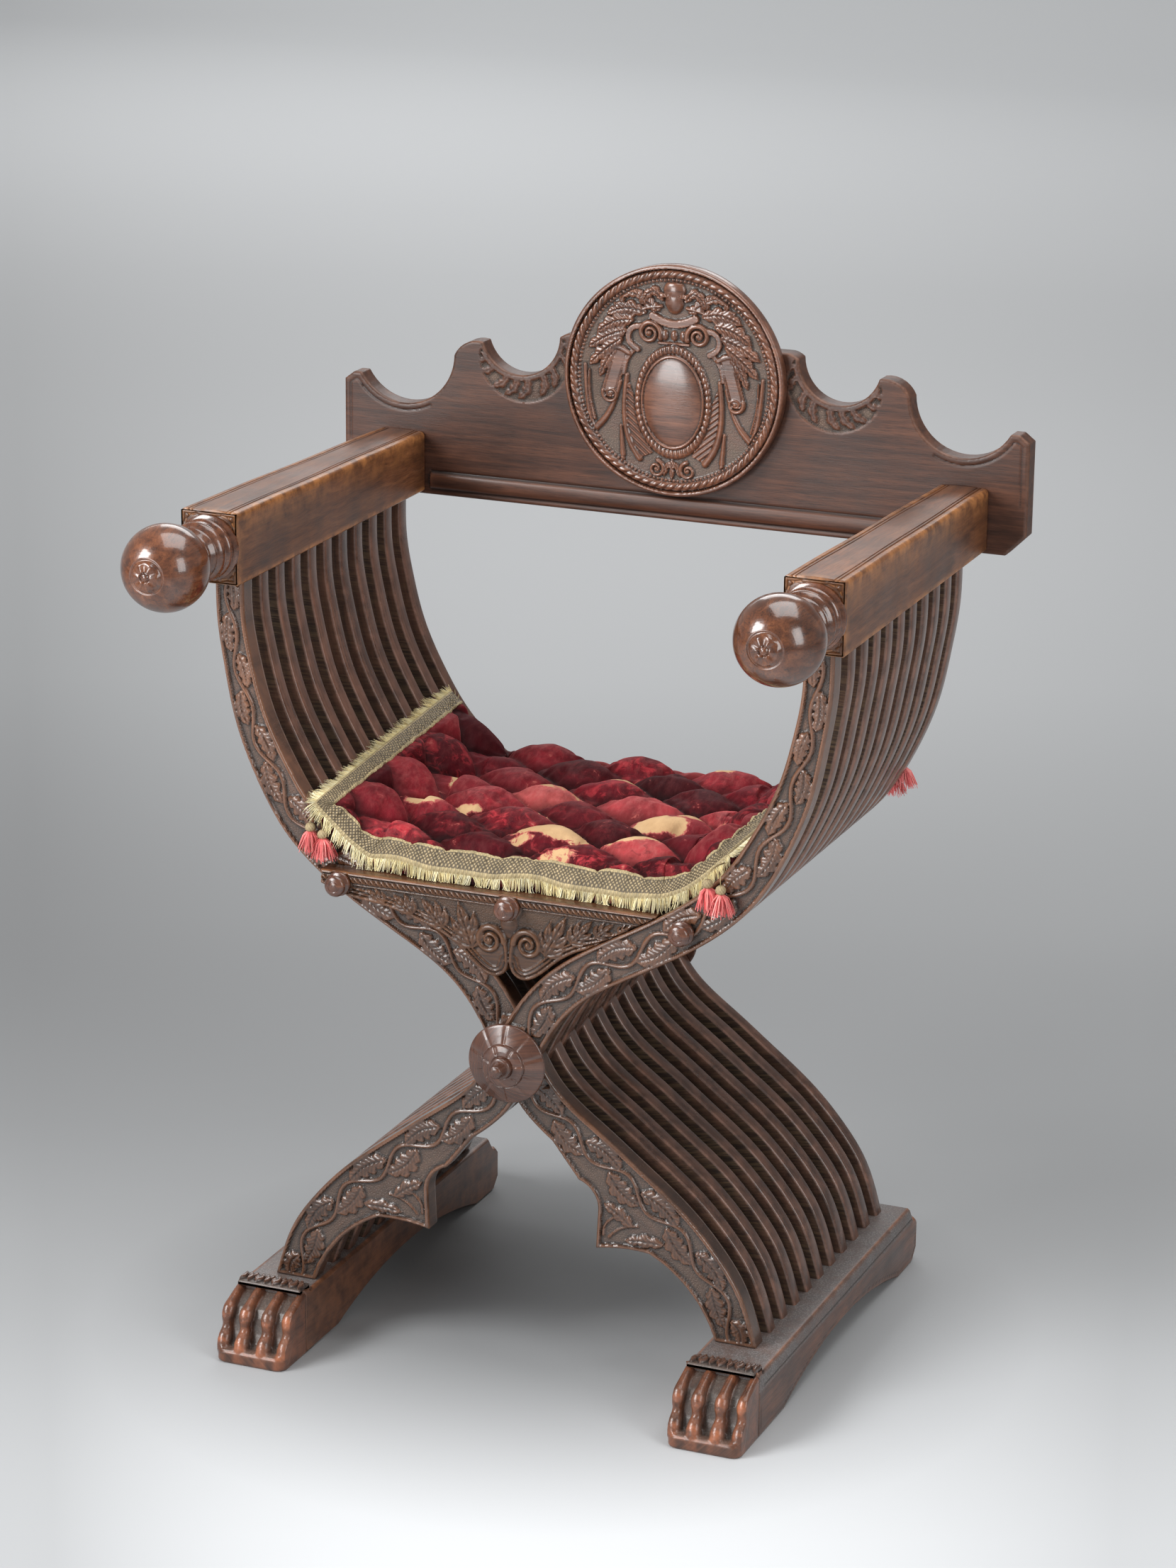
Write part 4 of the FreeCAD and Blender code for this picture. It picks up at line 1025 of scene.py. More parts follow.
def roundelHalf(m):
    # all that stands on the right half: scrolls, straps, the cloth beside the oval, ribbons and leaves
    forms = [volute(m, *values) for values in roundel["volutes"]]
    forms += [band(m, smoothLine(line, count), half, height) for line, count, half, height in roundel["straps"]]
    strapLine = smoothLine(((50, 21), (55, 5), (60, -12)), 14)
    strap = band(m, strapLine, 7.4, 2.7)
    forms.append(strap - 0.7 * groove(toLine(m, strapLine)[0] - 5.6, 0.6) * (strap > 1))
    hem = smoothLine(((44, 2), (46, -22), (44, -46), (38, -62), (31, -72)), 24)
    cloth = inside(m, np.vstack([hem, [(18, -66), (28, -50), (36, -20)]]))
    folds = 1.5 + 0.6 * np.cos((m[:, 0] * 0.8 - m[:, 1]) * 2 * np.pi / 5.2)
    forms += [taperRidge(m, hem, 2.4, 3.2, 3.4), np.where(cloth, folds, 0)]
    forms += [taperRidge(m, smoothLine(line, 14), w0, w1, 3.3) for line, w0, w1 in roundel["ribbons"]]
    forms += [taperRidge(m, ((49, -44), (48, -58), (47, -70)), 1.6, 2.8, 2.8), dome(m, (47, -74), (2.2, 5), 3.0),
              ridge(m, smoothLine(((12, 66), (30, 62), (44, 50), (52, 36)), 20), 1.8, 3.6)]
    return forms + [leaf(m, *values) for values in roundel["leaves"]]


def carveRoundel(points, edgeDistance):
    q = points - np.array([0, roundel["z"]])
    x, z = q[:, 0], q[:, 1]
    r, angle = np.hypot(x, z), np.arctan2(z, x)
    g = roundel["ground"]
    rope = 3.9 * bead(r - 95.0, 4.0) * (0.70 + 0.34 * np.abs(np.cos(roundel["rope"] / 2 * angle + (r - 95) * 0.42)))
    pearl = 1.9 * bead(r - 89.8, 1.5) * np.abs(np.cos(roundel["pearls"] / 2 * angle))
    # oval field with its notched frame
    oval = np.hypot(x / 36.0, (z + 19) / 51.0)
    notch = 0.72 + 0.32 * np.abs(np.cos(26 * np.arctan2((z + 19) / 51, x / 36)))
    h = np.maximum.reduce([soft((r - 99.2) / 1.0) * g, rope, pearl, 3.3 * bead(oval - 0.92, 0.09) * notch,
                           4.0 * bead(oval - 0.80, 0.045)])
    h = np.where(oval < 0.775, 2.0 + 2.9 * np.clip(1 - (oval / 0.78) ** 2, 0, 1) ** 0.6, h)
    # acorn with its cup and rope band, the cartouche's crest and the fleuron at the foot
    forms = [np.zeros(len(q)), dome(q, (0, 80.5), (10.6, 10), 4.8) * (z > 76),
             dome(q, (0, 72), (9.2, 12.5), 4.4) * (z <= 76),
             band(q, ((-11, 76), (11, 76)), 1.9, 4.3) * (0.8 + 0.2 * np.abs(np.cos(x * 1.25 + z * 0.5))),
             band(q, smoothLine(((-20, 57), (-10, 52.5), (0, 51), (10, 52.5), (20, 57)), 20), 3.6, 3.4),
             band(q, ((-14, 33.5), (14, 33.5)), 1.3, 2.4)]
    forms += [dome(q, (bx, 40.5), (3.4, 5.2), 2.8) for bx in (-8.6, 0, 8.6)]
    forms += [leaf(q, spine, 3.4, 3.0, lobes=2) for spine in (
        ((0, -71), (0, -80), (0, -90)), ((2, -73), (6, -80), (8, -87)), ((-2, -73), (-6, -80), (-8, -87)))]
    forms += roundelHalf(q * (-1, 1)) + roundelHalf(q)
    h = np.maximum(h, np.maximum.reduce(forms) * soft((oval - 1.0) / 0.03) * soft((88.5 - r) / 1.0))
    return h - g, (1 - soft(h / 0.7)) * (r < 99)


def makeRoundel():
    angle = np.linspace(0, 2 * np.pi, 260)[:-1]
    wobble = roundel["radius"] - 0.35 + 0.35 * np.sin(5 * angle + 1)
    outline = np.stack([wobble * np.cos(angle), roundel["z"] + wobble * np.sin(angle)], 1)
    obj = carvedPlate("roundelCarving", outline, roundel["front"], place["boardFront"] - 0.05, carveRoundel, step=0.85,
                      rounding=1.8)
    dress(obj, "back", wood["roundel"], ["roundel"])
    print("roundel made")


makeRoundel()


# runners and paws

runner = {"inner": 177.0, "outer": 243.0, "rear": 257.0, "top": 56.5, "archFront": -95.0, "archRear": 205.0,
          "archRise": 22.0, "pawBack": -160.0, "toes": (-29.0, -10.5, 10.5, 29.0)}

# a toe from the fur line to the plinth as (y, z, radius), and the core behind the toes as (y, z)
paw = {
    "toe": ((-158, 54.5, 4.0), (-168, 51.8, 4.0), (-176, 48.6, 4.3), (-183, 44.6, 5.2), (-187.5, 40.5, 6.3),
            (-189.6, 36, 5.6), (-190, 30, 4.6), (-191.5, 24.5, 5.0), (-195.5, 19.5, 6.3), (-197.6, 15.5, 6.8),
            (-199, 10, 6.0)),
    "core": ((-145, 0), (-197, 0), (-197, 11), (-190, 15), (-186.5, 22), (-184.5, 30), (-183, 37), (-178, 43.5),
             (-171, 47), (-163, 50.5), (-156, 54.5), (-145, 57))}


def carveRunnerSide(points, edgeDistance):
    y, z = -points[:, 0], points[:, 1]
    down = runner["top"] - z
    h = -0.9 * groove(down - 13, 0.9) - 0.7 * groove(down - 17, 0.7)
    h *= soft((y + 150) / 6) * soft((runner["rear"] - 14 - y) / 4)
    h -= 0.7 * groove(edgeDistance - 5.5, 0.7) * (z < 28)
    return h, np.zeros(len(points))


def makePaw(name):
    # narrow toes of balls over a set-back core and a rounded plinth, melted together by a remesh
    deselectAll()
    centre = -(runner["inner"] + runner["outer"]) / 2
    parts = []
    for off in runner["toes"]:
        back = 3.0 if abs(off) > 20 else 0.0
        for y, z, r in smoothLine(paw["toe"], 22):
            bpy.ops.mesh.primitive_uv_sphere_add(segments=14, ring_count=9, radius=r * mm,
                                                 location=((centre + off) * mm, (y + back) * mm, z * mm))
            parts.append(bpy.context.object)
    n = len(paw["core"])
    verts = [(centre + side * 32.6, y, z) for side in (-1, 1) for y, z in paw["core"]]
    faces = [[i, n + i, n + (i + 1) % n, (i + 1) % n] for i in range(n)]
    parts.append(pieceFrom("pawCore", verts, [list(range(n)), [2 * n - 1 - i for i in range(n)]] + faces))
    corners = ((24.6, -197.2, -90), (24.6, -140, 0), (-24.6, -140, 90), (-24.6, -197.2, 180))
    rounded = np.array([(centre + cx + 8 * math.cos(a), cy + 8 * math.sin(a)) for cx, cy, start in corners
                        for a in np.radians(start + np.arange(0, 91, 15))])
    m = len(rounded)
    middle = rounded.mean(0)
    verts = [(*(middle + (p - middle) * share), z) for share, z in ((0.97, 0), (1, 2), (1, 9.5), (0.965, 12.5))
             for p in rounded]
    faces = [[k * m + i, k * m + (i + 1) % m, (k + 1) * m + (i + 1) % m, (k + 1) * m + i]
             for k in range(3) for i in range(m)]
    parts.append(pieceFrom("pawPlinth", verts, faces + [list(range(m))[::-1], [3 * m + i for i in range(m)]]))
    piece = joined(name, parts)
    bpy.ops.object.transform_apply(location=True, rotation=True, scale=True)
    remesh = piece.modifiers.new("remesh", "REMESH")
    remesh.mode = "VOXEL"
    remesh.voxel_size = 0.001 * (1.6 if coarse > 1 else 1)
    even = piece.modifiers.new("even", "SMOOTH")
    even.factor, even.iterations = 0.5, 3
    applyAll(piece)
    co = placesOf(piece)
    co = np.clip(co, (-runner["outer"] + 0.1, -205.8, 0), (-runner["inner"] - 0.1, np.inf, 60))
    worn, ridgeNear = np.zeros(len(co)), np.zeros(len(co))
    for off in runner["toes"]:
        for y, z, reach in ((-192, 40, 6.5), (-202, 16, 7.0)):
            away = np.linalg.norm((co - (centre + off, y, z)) / (reach, reach * 1.4, reach), axis=1)
            worn = np.maximum(worn, soft(1.5 - away))
        ridgeNear = np.maximum(ridgeNear, soft(1.6 - np.abs(co[:, 0] - centre - off) / 5.0))
    worn = np.maximum(worn, ridgeNear * 0.45 * (co[:, 1] < -160))
    worn = np.maximum(worn, 0.7 * soft((3.5 - np.abs(co[:, 2] - 11.5)) / 3) * (co[:, 1] < -196))
    setPlaces(piece, co)
    setPointValue(piece, "edge", worn)
    setPointValue(piece, "ground", (1 - ridgeNear) * (co[:, 1] < -158) * (co[:, 2] > 12))
    setUv(piece, np.stack([co[:, 1], co[:, 0] + co[:, 2]], 1) * mm)
    smoothShade(piece, 60)
    return piece


def carveFur(points, edgeDistance):
    q = points - ((runner["inner"] + runner["outer"]) / 2, 0)
    h = np.zeros(len(points))
    for k in range(11):
        x, lean = -27 + 5.4 * k, 3.2 * math.sin(k * 2.1)
        long = ((x, -152), (x + lean * 0.5, -157), (x + lean, -163.5))
        short = ((x + 2.7, -147), (x + 2.4 - lean * 0.4, -151), (x + 2 - lean, -156))
        for spine, width, height in ((long, 3.1, 2.6), (short, 2.8, 2.0)):
            h = np.maximum(h, leaf(q, spine, width, height, lobes=1, vein=False))
    return h - 0.8, 1 - soft(h / 0.5)


def makeRunners():
    inner, outer, rear, back = (runner[key] for key in ("inner", "outer", "rear", "pawBack"))
    a, b = runner["archFront"], runner["archRear"]
    arch = arcPoints((a, 0), ((a + b) / 2, runner["archRise"]), (b, 0), 40)
    rest = [(rear - 11, 0), (rear, 11), (rear, 36.5), (rear - 5.5, 42), (rear - 11, 42), (rear - 22, 56.5),
            (back + 11, 56.5), (back, 60)]
    outline = mirrored(np.vstack([[(back, 0)], arch, rest]))
    left = carvedPlate("leftRunner", outline, 0.0, outer - inner, carveRunnerSide, step=1.8, rounding=2.6)
    co = placesOf(left)
    setPlaces(left, np.stack([co[:, 1] - outer, -co[:, 0], co[:, 2]], 1))
    # the top counts as ground, so it takes the pale grey of the runner's dust colour: dust with a painted reflection
    setPointValue(left, "ground", soft((co[:, 2] - 40) / 1.5) * (pointValue(left, "edge") < 0.3))
    leftPaw = makePaw("leftPaw")
    strip = np.array([(inner + 3, -165), (outer - 3, -165), (outer - 3, -146), (inner + 3, -146)], float)
    fur = carvedPlate("rightFur", strip, -61.6, -56, carveFur, step=0.8, rounding=1.2)
    co = placesOf(fur)
    setPointValue(fur, "edge", np.zeros(len(co)))
    setPlaces(fur, np.stack([co[:, 0], co[:, 2], -co[:, 1]], 1))
    right = copyPiece(left, "rightRunner", mirror=True)
    rightPaw = copyPiece(leftPaw, "rightPaw", mirror=True)
    leftFur = copyPiece(fur, "leftFur", mirror=True)
    dress(left, "frame_a", wood["runner"], ["left_runner"])
    dress(right, "frame_b", wood["runner"], ["right_runner"])
    for piece, body in ((leftPaw, "frame_a"), (leftFur, "frame_a"), (rightPaw, "frame_b"), (fur, "frame_b")):
        dress(piece, body, wood["paw"])
    print("runners made")


makeRunners()


# cushion with its braid, fringe and tassels

pad = {
    "front": -116.0, "rear": 190.0, "clear": 0.9, "columns": 148, "rows": 98, "leftFront": 484.0, "rightFront": 488.0,
    "back": 500.0, "full": 17.0, "side": 11.0, "edge": 6.0, "round": 28.0, "pitchX": 88.0, "pitchY": 72.0,
    "shiftX": -43.0, "shiftY": 17.0, "puff": 11.0, "pressure": 5.0, "slack": -0.07, "cap": 9.0, "frames": 18,
    "braid": 13.0, "wide": 470.0, "deep": 306.0}

# places of the bald patches: x, y, half-widths, turn in degrees, strength
bald = ((-144, -6, 30, 22, -25, 1.15), (-100, -10, 22, 6, 15, 0.9), (0, -46, 40, 20, -5, 1.3),
        (-10, 108, 38, 8, -5, 1.0),
        (80, 8, 26, 14, -5, 1.15), (104, 33, 18, 9, 20, 1.05), (80, -42, 34, 14, 20, 0.85), (-26, 4, 12, 6, -30, 0.8),
        (-152, 66, 6, 30, 20, 0.8), (66, 172, 26, 10, -20, 0.8), (0, 186, 34, 6, -5, 0.75), (30, -98, 20, 8, 10, 0.6),
        (-30, 62, 30, 12, -10, 0.5), (-20, -74, 22, 8, 10, 0.75), (132, 30, 22, 9, 30, 0.6))
# puffs by their middle: x, y, tone from dark to coral, mottling
puffs = ((-43, 53, 0.95, 0.3), (-131, 53, 0.55, 0.1), (-87, 17, 0.5, 0.4), (-43, -19, 0.4, 0.9), (-43, -91, 0.08, 0.1),
         (-87, -55, 0.06, 0.2), (-131, -19, 0.45, 0.5), (-131, -91, 0.5, 1.0),
         (1, -55, 0.35, 0.6), (45, -19, 0.06, 0.1),
         (1, 17, 0.25, 0.2), (45, 53, 0.75, 0.1), (1, 89, 0.35, 0.6), (-43, 125, 0.12, 0.1), (45, 125, 0.04, 0.0),
         (1, 161, 0.4, 0.8), (-43, 197, 0.85, 0.3), (89, 17, 0.5, 0.3), (89, -55, 0.8, 0.6), (45, -91, 0.2, 0.9),
         (133, 53, 0.7, 0.6), (133, 125, 0.3, 0.3), (89, 89, 0.06, 0.1), (89, 161, 0.5, 0.5), (45, 197, 0.75, 0.5),
         (-87, 89, 0.45, 0.2), (-87, 161, 0.45, 0.3), (-131, 125, 0.3, 0.2), (89, -127, 0.3, 0.6), (1, -127, 0.25, 0.7))


def puffPlace(s, y):
    # numbers that pass a whole number at each crease
    a = (s - pad["shiftX"]) / pad["pitchX"] + (y - pad["shiftY"]) / pad["pitchY"]
    b = (s - pad["shiftX"]) / pad["pitchX"] - (y - pad["shiftY"]) / pad["pitchY"]
    return a + 0.05 * np.sin(s / 31 + y / 23), b + 0.05 * np.sin(y / 29 - s / 37)


def seatLine():
    # from the middle of the seat and up the right staves, rounded where they meet
    inner = staveLines(900)[1]
    low = place["seatTop"] + pad["clear"]
    rise = inner[(inner[:, 0] > 60) & (inner[:, 1] > low) & (inner[:, 1] < 540)]
    rise = rise[np.argsort(rise[:, 1])] + np.array([-0.7, 0.6]) * pad["clear"]
    line = resample(np.vstack([[(0, low)], rise]), 1.0)
    for _ in range(120):
        line[1:-1] = (line[:-2] + 2 * line[1:-1] + line[2:]) / 4
    return line


def padProfile(distance, reach):
    return np.sqrt(np.clip(1 - (1 - np.clip(distance / reach, 0, 1)) ** 2, 0, 1))


def padShape():
    # grid of the pad's upper side, with its pins, its puffs' numbers and the flat places of its points
    line = seatLine()
    total = runOf(line)
    nu, nv = int(pad["columns"] / coarse), int(pad["rows"] / coarse)
    share = np.linspace(0, 1, nv)[:, None]
    leftEnd = np.interp(pad["leftFront"] + (pad["back"] - pad["leftFront"]) * share, line[:, 1], total)
    rightEnd = np.interp(pad["rightFront"] + (pad["back"] - pad["rightFront"]) * share, line[:, 1], total)
    s = -leftEnd + (leftEnd + rightEnd) * np.linspace(0, 1, nu)[None, :]
    front = pad["front"] + 2.6 * np.sin(s / 27.0 + 0.6) + 1.2 * np.sin(s / 11.0)
    rear = pad["rear"] + 2.0 * np.sin(s / 24.0) + 1.0 * np.sin(s / 9.0)
    y = front + (rear - front) * share
    away = np.abs(s)
    x = np.interp(away, total, line[:, 0]) * np.sign(s)
    z = np.interp(away, total, line[:, 1])
    tx = np.interp(away + 1, total, line[:, 0]) - np.interp(np.maximum(away - 1, 0), total, line[:, 0])
    tz = np.interp(away + 1, total, line[:, 1]) - np.interp(np.maximum(away - 1, 0), total, line[:, 1])
    size = np.hypot(tx, tz) + 1e-9
    nx, nz = -tz / size * np.sign(s), tx / size
    eFront, eRear, eLeft, eRight = y - front, rear - y, s + leftEnd, rightEnd - s
    rounded = (padProfile(eFront, pad["round"]) * padProfile(eRear, pad["round"] * 0.7)
               * padProfile(eLeft, pad["round"] * 0.8) * padProfile(eRight, pad["round"] * 0.8))
    nearest = np.minimum.reduce([eFront, eRear, eLeft, eRight])
    thick = pad["side"] + (pad["full"] - pad["side"]) * soft((165 - away) / 60)
    a, b = puffPlace(s, y)
    number = (np.floor(a).astype(int) * 31 + np.floor(b).astype(int) * 17) % 97
    values = rng.random(97)
    lean = (a % 1) - (b % 1)
    puff = (np.abs(np.sin(np.pi * a)) * np.abs(np.sin(np.pi * b))) ** 0.45 * (1 + 0.32 * lean)
    puff *= pad["puff"] * (0.82 + 0.36 * values[number])
    pinchS = np.abs(a - np.round(a)) + np.abs(b - np.round(b))
    inner = soft((nearest - 6) / 14)
    h = pad["edge"] + thick * rounded + puff * inner - 4.0 * np.exp(-(pinchS / 0.11) ** 2) * inner
    lift = 3.6 * np.clip(np.sin(s / 19.0 + 1.0), 0, 1) * np.exp(-nearest / 12)
    points = np.stack([x + nx * h, y, z + nz * h + lift], -1)
    base = np.stack([x, y, z], -1)
    crease = np.minimum(np.abs(a - np.round(a)), np.abs(b - np.round(b)))
    pins = np.maximum.reduce([soft((0.16 - pinchS) / 0.08), 0.42 * soft((0.10 - crease) / 0.07),
                              soft((11 - nearest) / 6)])
    return points, base, pins, np.stack([s, y], -1), puff


def settleVelvet(points, pins):
    # a little pressure on slack cloth, held at its stitches, gives the puffs their folds
    nv, nu = points.shape[:2]
    index = np.arange(nu * nv).reshape(nv, nu)
    faces = quads(index)[:, [0, 3, 2, 1]]
    obj = pieceFrom("velvetCloth", points.reshape(-1, 3), faces)
    group = obj.vertex_groups.new(name="stitches")
    for level in range(1, 11):
        members = np.where(np.round(pins.ravel() * 10) == level)[0]
        if len(members):
            group.add([int(m) for m in members], level / 10, "REPLACE")
    cloth = obj.modifiers.new("cloth", "CLOTH")
    values = cloth.settings
    values.vertex_group_mass = "stitches"
    values.effector_weights.gravity = 0
    values.use_pressure = True
    values.uniform_pressure_force = pad["pressure"]
    values.shrink_min = pad["slack"]
    values.quality = 4
    values.mass = 0.2
    cloth.collision_settings.use_collision = False
    cloth.point_cache.frame_start, cloth.point_cache.frame_end = 1, pad["frames"]
    for step in range(1, pad["frames"] + 1):
        bpy.context.scene.frame_set(step)
    settled = obj.evaluated_get(bpy.context.evaluated_depsgraph_get()).to_mesh()
    co = np.zeros(len(settled.vertices) * 3)
    settled.vertices.foreach_get("co", co)
    move = co.reshape(nv, nu, 3) / mm - points
    bpy.context.scene.frame_set(1)
    bpy.data.objects.remove(obj, do_unlink=True)
    far = np.linalg.norm(move, axis=-1, keepdims=True)
    print("velvet moved up to %.1f mm" % far.max())
    return points + move * np.minimum(1, pad["cap"] / (far + 1e-9))


def onPad(grid, u, v):
    # place and normal on the pad at fractional grid numbers
    nv, nu = grid.shape[:2]

    def at(p, q):
        p, q = np.clip(p, 0, nu - 1.001), np.clip(q, 0, nv - 1.001)
        i, j = p.astype(int), q.astype(int)
        fp, fq = (p - i)[:, None], (q - j)[:, None]
        return ((grid[j, i] * (1 - fp) + grid[j, i + 1] * fp) * (1 - fq)
                + (grid[j + 1, i] * (1 - fp) + grid[j + 1, i + 1] * fp) * fq)

    spread = 2.0
    across = at(u + spread, v) - at(u - spread, v)
    down = at(u, v + spread) - at(u, v - spread)
    normal = np.cross(across, down)
    return at(u, v), normal / (np.linalg.norm(normal, axis=1)[:, None] + 1e-9)


def braidPath(grid):
    # outer and inner grid numbers of the braid: down the left edge, along the front, up the right edge
    nv, nu = grid.shape[:2]
    wu, wv = pad["braid"] / (pad["wide"] / nu), pad["braid"] / (pad["deep"] / nv)
    fine = 1.2
    left = np.linspace(nv - 1, 0, int(pad["deep"] / fine))
    along = np.linspace(0, nu - 1, int(pad["wide"] / fine))
    zero = np.zeros(len(left))
    outer = np.vstack([np.stack([zero, left], 1), np.stack([along, np.zeros(len(along))], 1),
                       np.stack([zero + nu - 1, left[::-1]], 1)])
    inner = np.vstack([np.stack([zero + wu, np.maximum(left, wv)], 1),
                       np.stack([np.clip(along, wu, nu - 1 - wu), np.full(len(along), wv)], 1),
                       np.stack([zero + nu - 1 - wu, np.maximum(left[::-1], wv)], 1)])
    return outer, inner


def makeBraid(grid):
    outer, inner = braidPath(grid)
    shares = np.array([0, 0.02, 0.09, 0.16, 0.22, 0.36, 0.5, 0.64, 0.78, 0.84, 0.91, 0.98, 1.0])
    lifts = np.array([-1.2, 0.9, 1.9, 1.7, 1.0, 1.2, 1.3, 1.2, 1.0, 1.7, 1.9, 1.2, -0.8])
    verts, uv = [], []
    length = runOf(onPad(grid, *outer.T)[0])
    for share, lift in zip(shares, lifts):
        here = outer + (inner - outer) * share
        spot, normal = onPad(grid, here[:, 0], here[:, 1])
        weave = 0.22 * np.sin(length / 0.9) * (0.15 < share < 0.85)
        verts.append(spot + normal * (lift + weave)[:, None])
        uv.append(np.stack([length, np.full(len(length), share * pad["braid"])], 1))
    count, rows = len(outer), len(shares)
    verts, uv = np.array(verts).transpose(1, 0, 2).reshape(-1, 3), np.array(uv).transpose(1, 0, 2).reshape(-1, 2)
    index = np.arange(count * rows).reshape(count, rows)
    obj = pieceFrom("cushionBraid", verts, quads(index))
    setUv(obj, uv * mm)
    smoothShade(obj, 60)
    return obj


def threadMesh(name, paths, radii, tones):
    # three-sided tapering threads
    verts, faces, tone = [], [], []
    for path, radius, shade in zip(paths, radii, tones):
        start = len(verts)
        run = path[-1] - path[0]
        run = run / (np.linalg.norm(run) + 1e-9)
        side = np.cross(run, (0.31, 0.17, 0.93))
        side /= np.linalg.norm(side) + 1e-9
        other = np.cross(run, side)
        last = len(path) - 1
        for k, point in enumerate(path):
            r = radius * (1 - 0.65 * k / last)
            for angle in (0.0, 2.09, 4.19):
                verts.append(point + (side * math.cos(angle) + other * math.sin(angle)) * r)
                tone.append(shade)
            if k:
                a, b = start + 3 * (k - 1), start + 3 * k
                faces += [(a + m, a + (m + 1) % 3, b + (m + 1) % 3, b + m) for m in range(3)]
        faces.append((start + 3 * last, start + 3 * last + 1, start + 3 * last + 2))
    obj = pieceFrom(name, np.array(verts), faces)
    setPointValue(obj, "tone", tone)
    return obj


def makeFringe(grid):
    outer, inner = braidPath(grid)
    edgeSpot, edgeNormal = onPad(grid, *outer.T)
    inSpot = onPad(grid, *(outer + (inner - outer) * 0.4).T)[0]
    paths, radii, tones = [], [], []
    count = len(outer)
    frontPart = outer[:, 1] < 0.01
    clumps = rng.normal(size=(count // 4 + 2, 2))
    for i in range(count):
        away = edgeSpot[i] - inSpot[i]
        away /= np.linalg.norm(away) + 1e-9
        run = np.array([1.0, 0, 0]) if frontPart[i] else np.array([0, 1.0, 0])
        for strand in range(3 if coarse == 1 else 2):
            clump = clumps[i // 4]
            reach = (7.4, 9.4, 5.4)[strand] * (0.8 + 0.4 * rng.random()) * (1 + 0.16 * clump[0])
            lean = run * (0.22 * clump[1] + 0.16 * rng.normal())
            path = []
            begin = edgeSpot[i] + edgeNormal[i] * (1.0 - 0.7 * strand) - away * 1.2
            for t in (0, 0.35, 0.7, 1.0):
                if frontPart[i]:
                    move = (away * 0.62 + lean) * t * reach + np.array([0, 0, -1.0]) * reach * (0.42 * t + 0.42 * t * t)
                else:
                    move = (away + lean + edgeNormal[i] * 0.18 * rng.random()) * t * reach
                spot = begin + move
                if spot[1] > place["front"] + 0.5:
                    spot[2] = max(spot[2], place["seatTop"] + 0.5)
                path.append(spot)
            paths.append(path)
            radii.append(0.42)
            tones.append(rng.random())
    return threadMesh("cushionFringe", [np.array(p) for p in paths], radii, tones)


tassel = {"knot": 4.4, "skirt": 18.0, "spread": 13.0, "threads": 120}


def makeTassels():
    # start at the cushion's corner, then the way of its cord
    beforeA, behindA, behindB = -137.6, stackRear - 15.5 + 8.0, stackRear + 8.0
    leftFront = [((-183, -115, 485), (-186, -117.5, 478), (-189, -117.8, 472)),
                 ((-181, -115, 484), (-179, -117.5, 474), (-177.5, -117.8, 467))]
    rightFront = [((187, -117, 487), (184, -127, 487), (181, beforeA, 483), (180, beforeA, 478)),
                  ((188, -117, 487), (190, -127, 487), (191, beforeA, 480), (191.5, beforeA, 474))]
    leftRear = [((-196, 191, 499), (-200, 206, 500), (-216, behindB, 497), (-217, behindB, 490)),
                ((-194, 191, 498), (-197, 206, 497), (-207, behindB, 490), (-207.5, behindB, 483))]
    rightRear = [((196, 191, 499), (206, behindA, 499), (228, behindA, 496), (229, behindA, 490)),
                 ((195, 191, 497), (200, behindA, 493), (218, behindA, 488), (219, behindA, 482))]
    knots, paths, radii, tones = [], [], [], []
    for cordPath in leftFront + rightFront + leftRear + rightRear:
        path = smoothLine(cordPath, 8)
        paths.append(path)
        radii.append(0.9)
        tones.append(2.0)
        end = path[-1]
        centre = end - (0, 0, tassel["knot"] * 0.9)
        bpy.ops.mesh.primitive_uv_sphere_add(segments=22, ring_count=14, radius=tassel["knot"] * mm,
                                             location=centre * mm)
        ball = bpy.context.object
        makeActive(ball)
        bpy.ops.object.transform_apply(location=True)
        co = placesOf(ball) - centre
        angle, high = np.arctan2(co[:, 1], co[:, 0]), co[:, 2] / tassel["knot"]
        swell = 1 + 0.05 * np.cos(9 * angle + 7 * high) + 0.05 * np.cos(9 * angle - 7 * high)
        setPlaces(ball, co * swell[:, None] * (1, 1, 0.92) + centre)
        setPointValue(ball, "tone", 1 - np.clip(swell - 0.9, 0, 0.2) * 3)
        knots.append(ball)
        top = centre - (0, 0, tassel["knot"] * 0.7)
        swing = rng.normal(size=2) * 0.10
        for _ in range(int(tassel["threads"] / coarse)):
            angle = rng.random() * 2 * math.pi
            out = math.sqrt(rng.random()) * tassel["spread"]
            reach = tassel["skirt"] * (0.86 + 0.2 * rng.random())
            wave = rng.normal(size=2) * 0.5
            thread = []
            for t in (0, 0.25, 0.55, 0.8, 1.0):
                spread = out * (0.30 + 0.70 * t ** 0.8) * (0.35 if t == 0 else 1)
                x = math.cos(angle) * spread + swing[0] * reach * t + wave[0] * math.sin(5 * t)
                y = math.sin(angle) * spread + swing[1] * reach * t + wave[1] * math.sin(4 * t)
                thread.append(top + np.array([x, y, -reach * t]))
            paths.append(np.array(thread))
            radii.append(0.75)
            tones.append(rng.random())
    # keep the silk in front of, or behind, the staves beside it
    for path in paths:
        if len(path) == 5 and path[0][1] < 0:
            limit = place["front"] - 0.8 if path[0][0] > 0 else frontsB[0] - 0.8
            path[:, 1] = np.minimum(path[:, 1], limit)
        elif len(path) == 5:
            limit = stackRear + (0.8 if path[0][0] < 0 else 0.8 - place["plain"] - place["gap"])
            path[:, 1] = np.clip(path[:, 1], limit, place["boardFront"] - 1)
    silk = threadMesh("tasselSilk", paths, radii, tones)
    knot = joined("tasselKnots", knots)
    smoothShade(knot, 60)
    return silk, knot


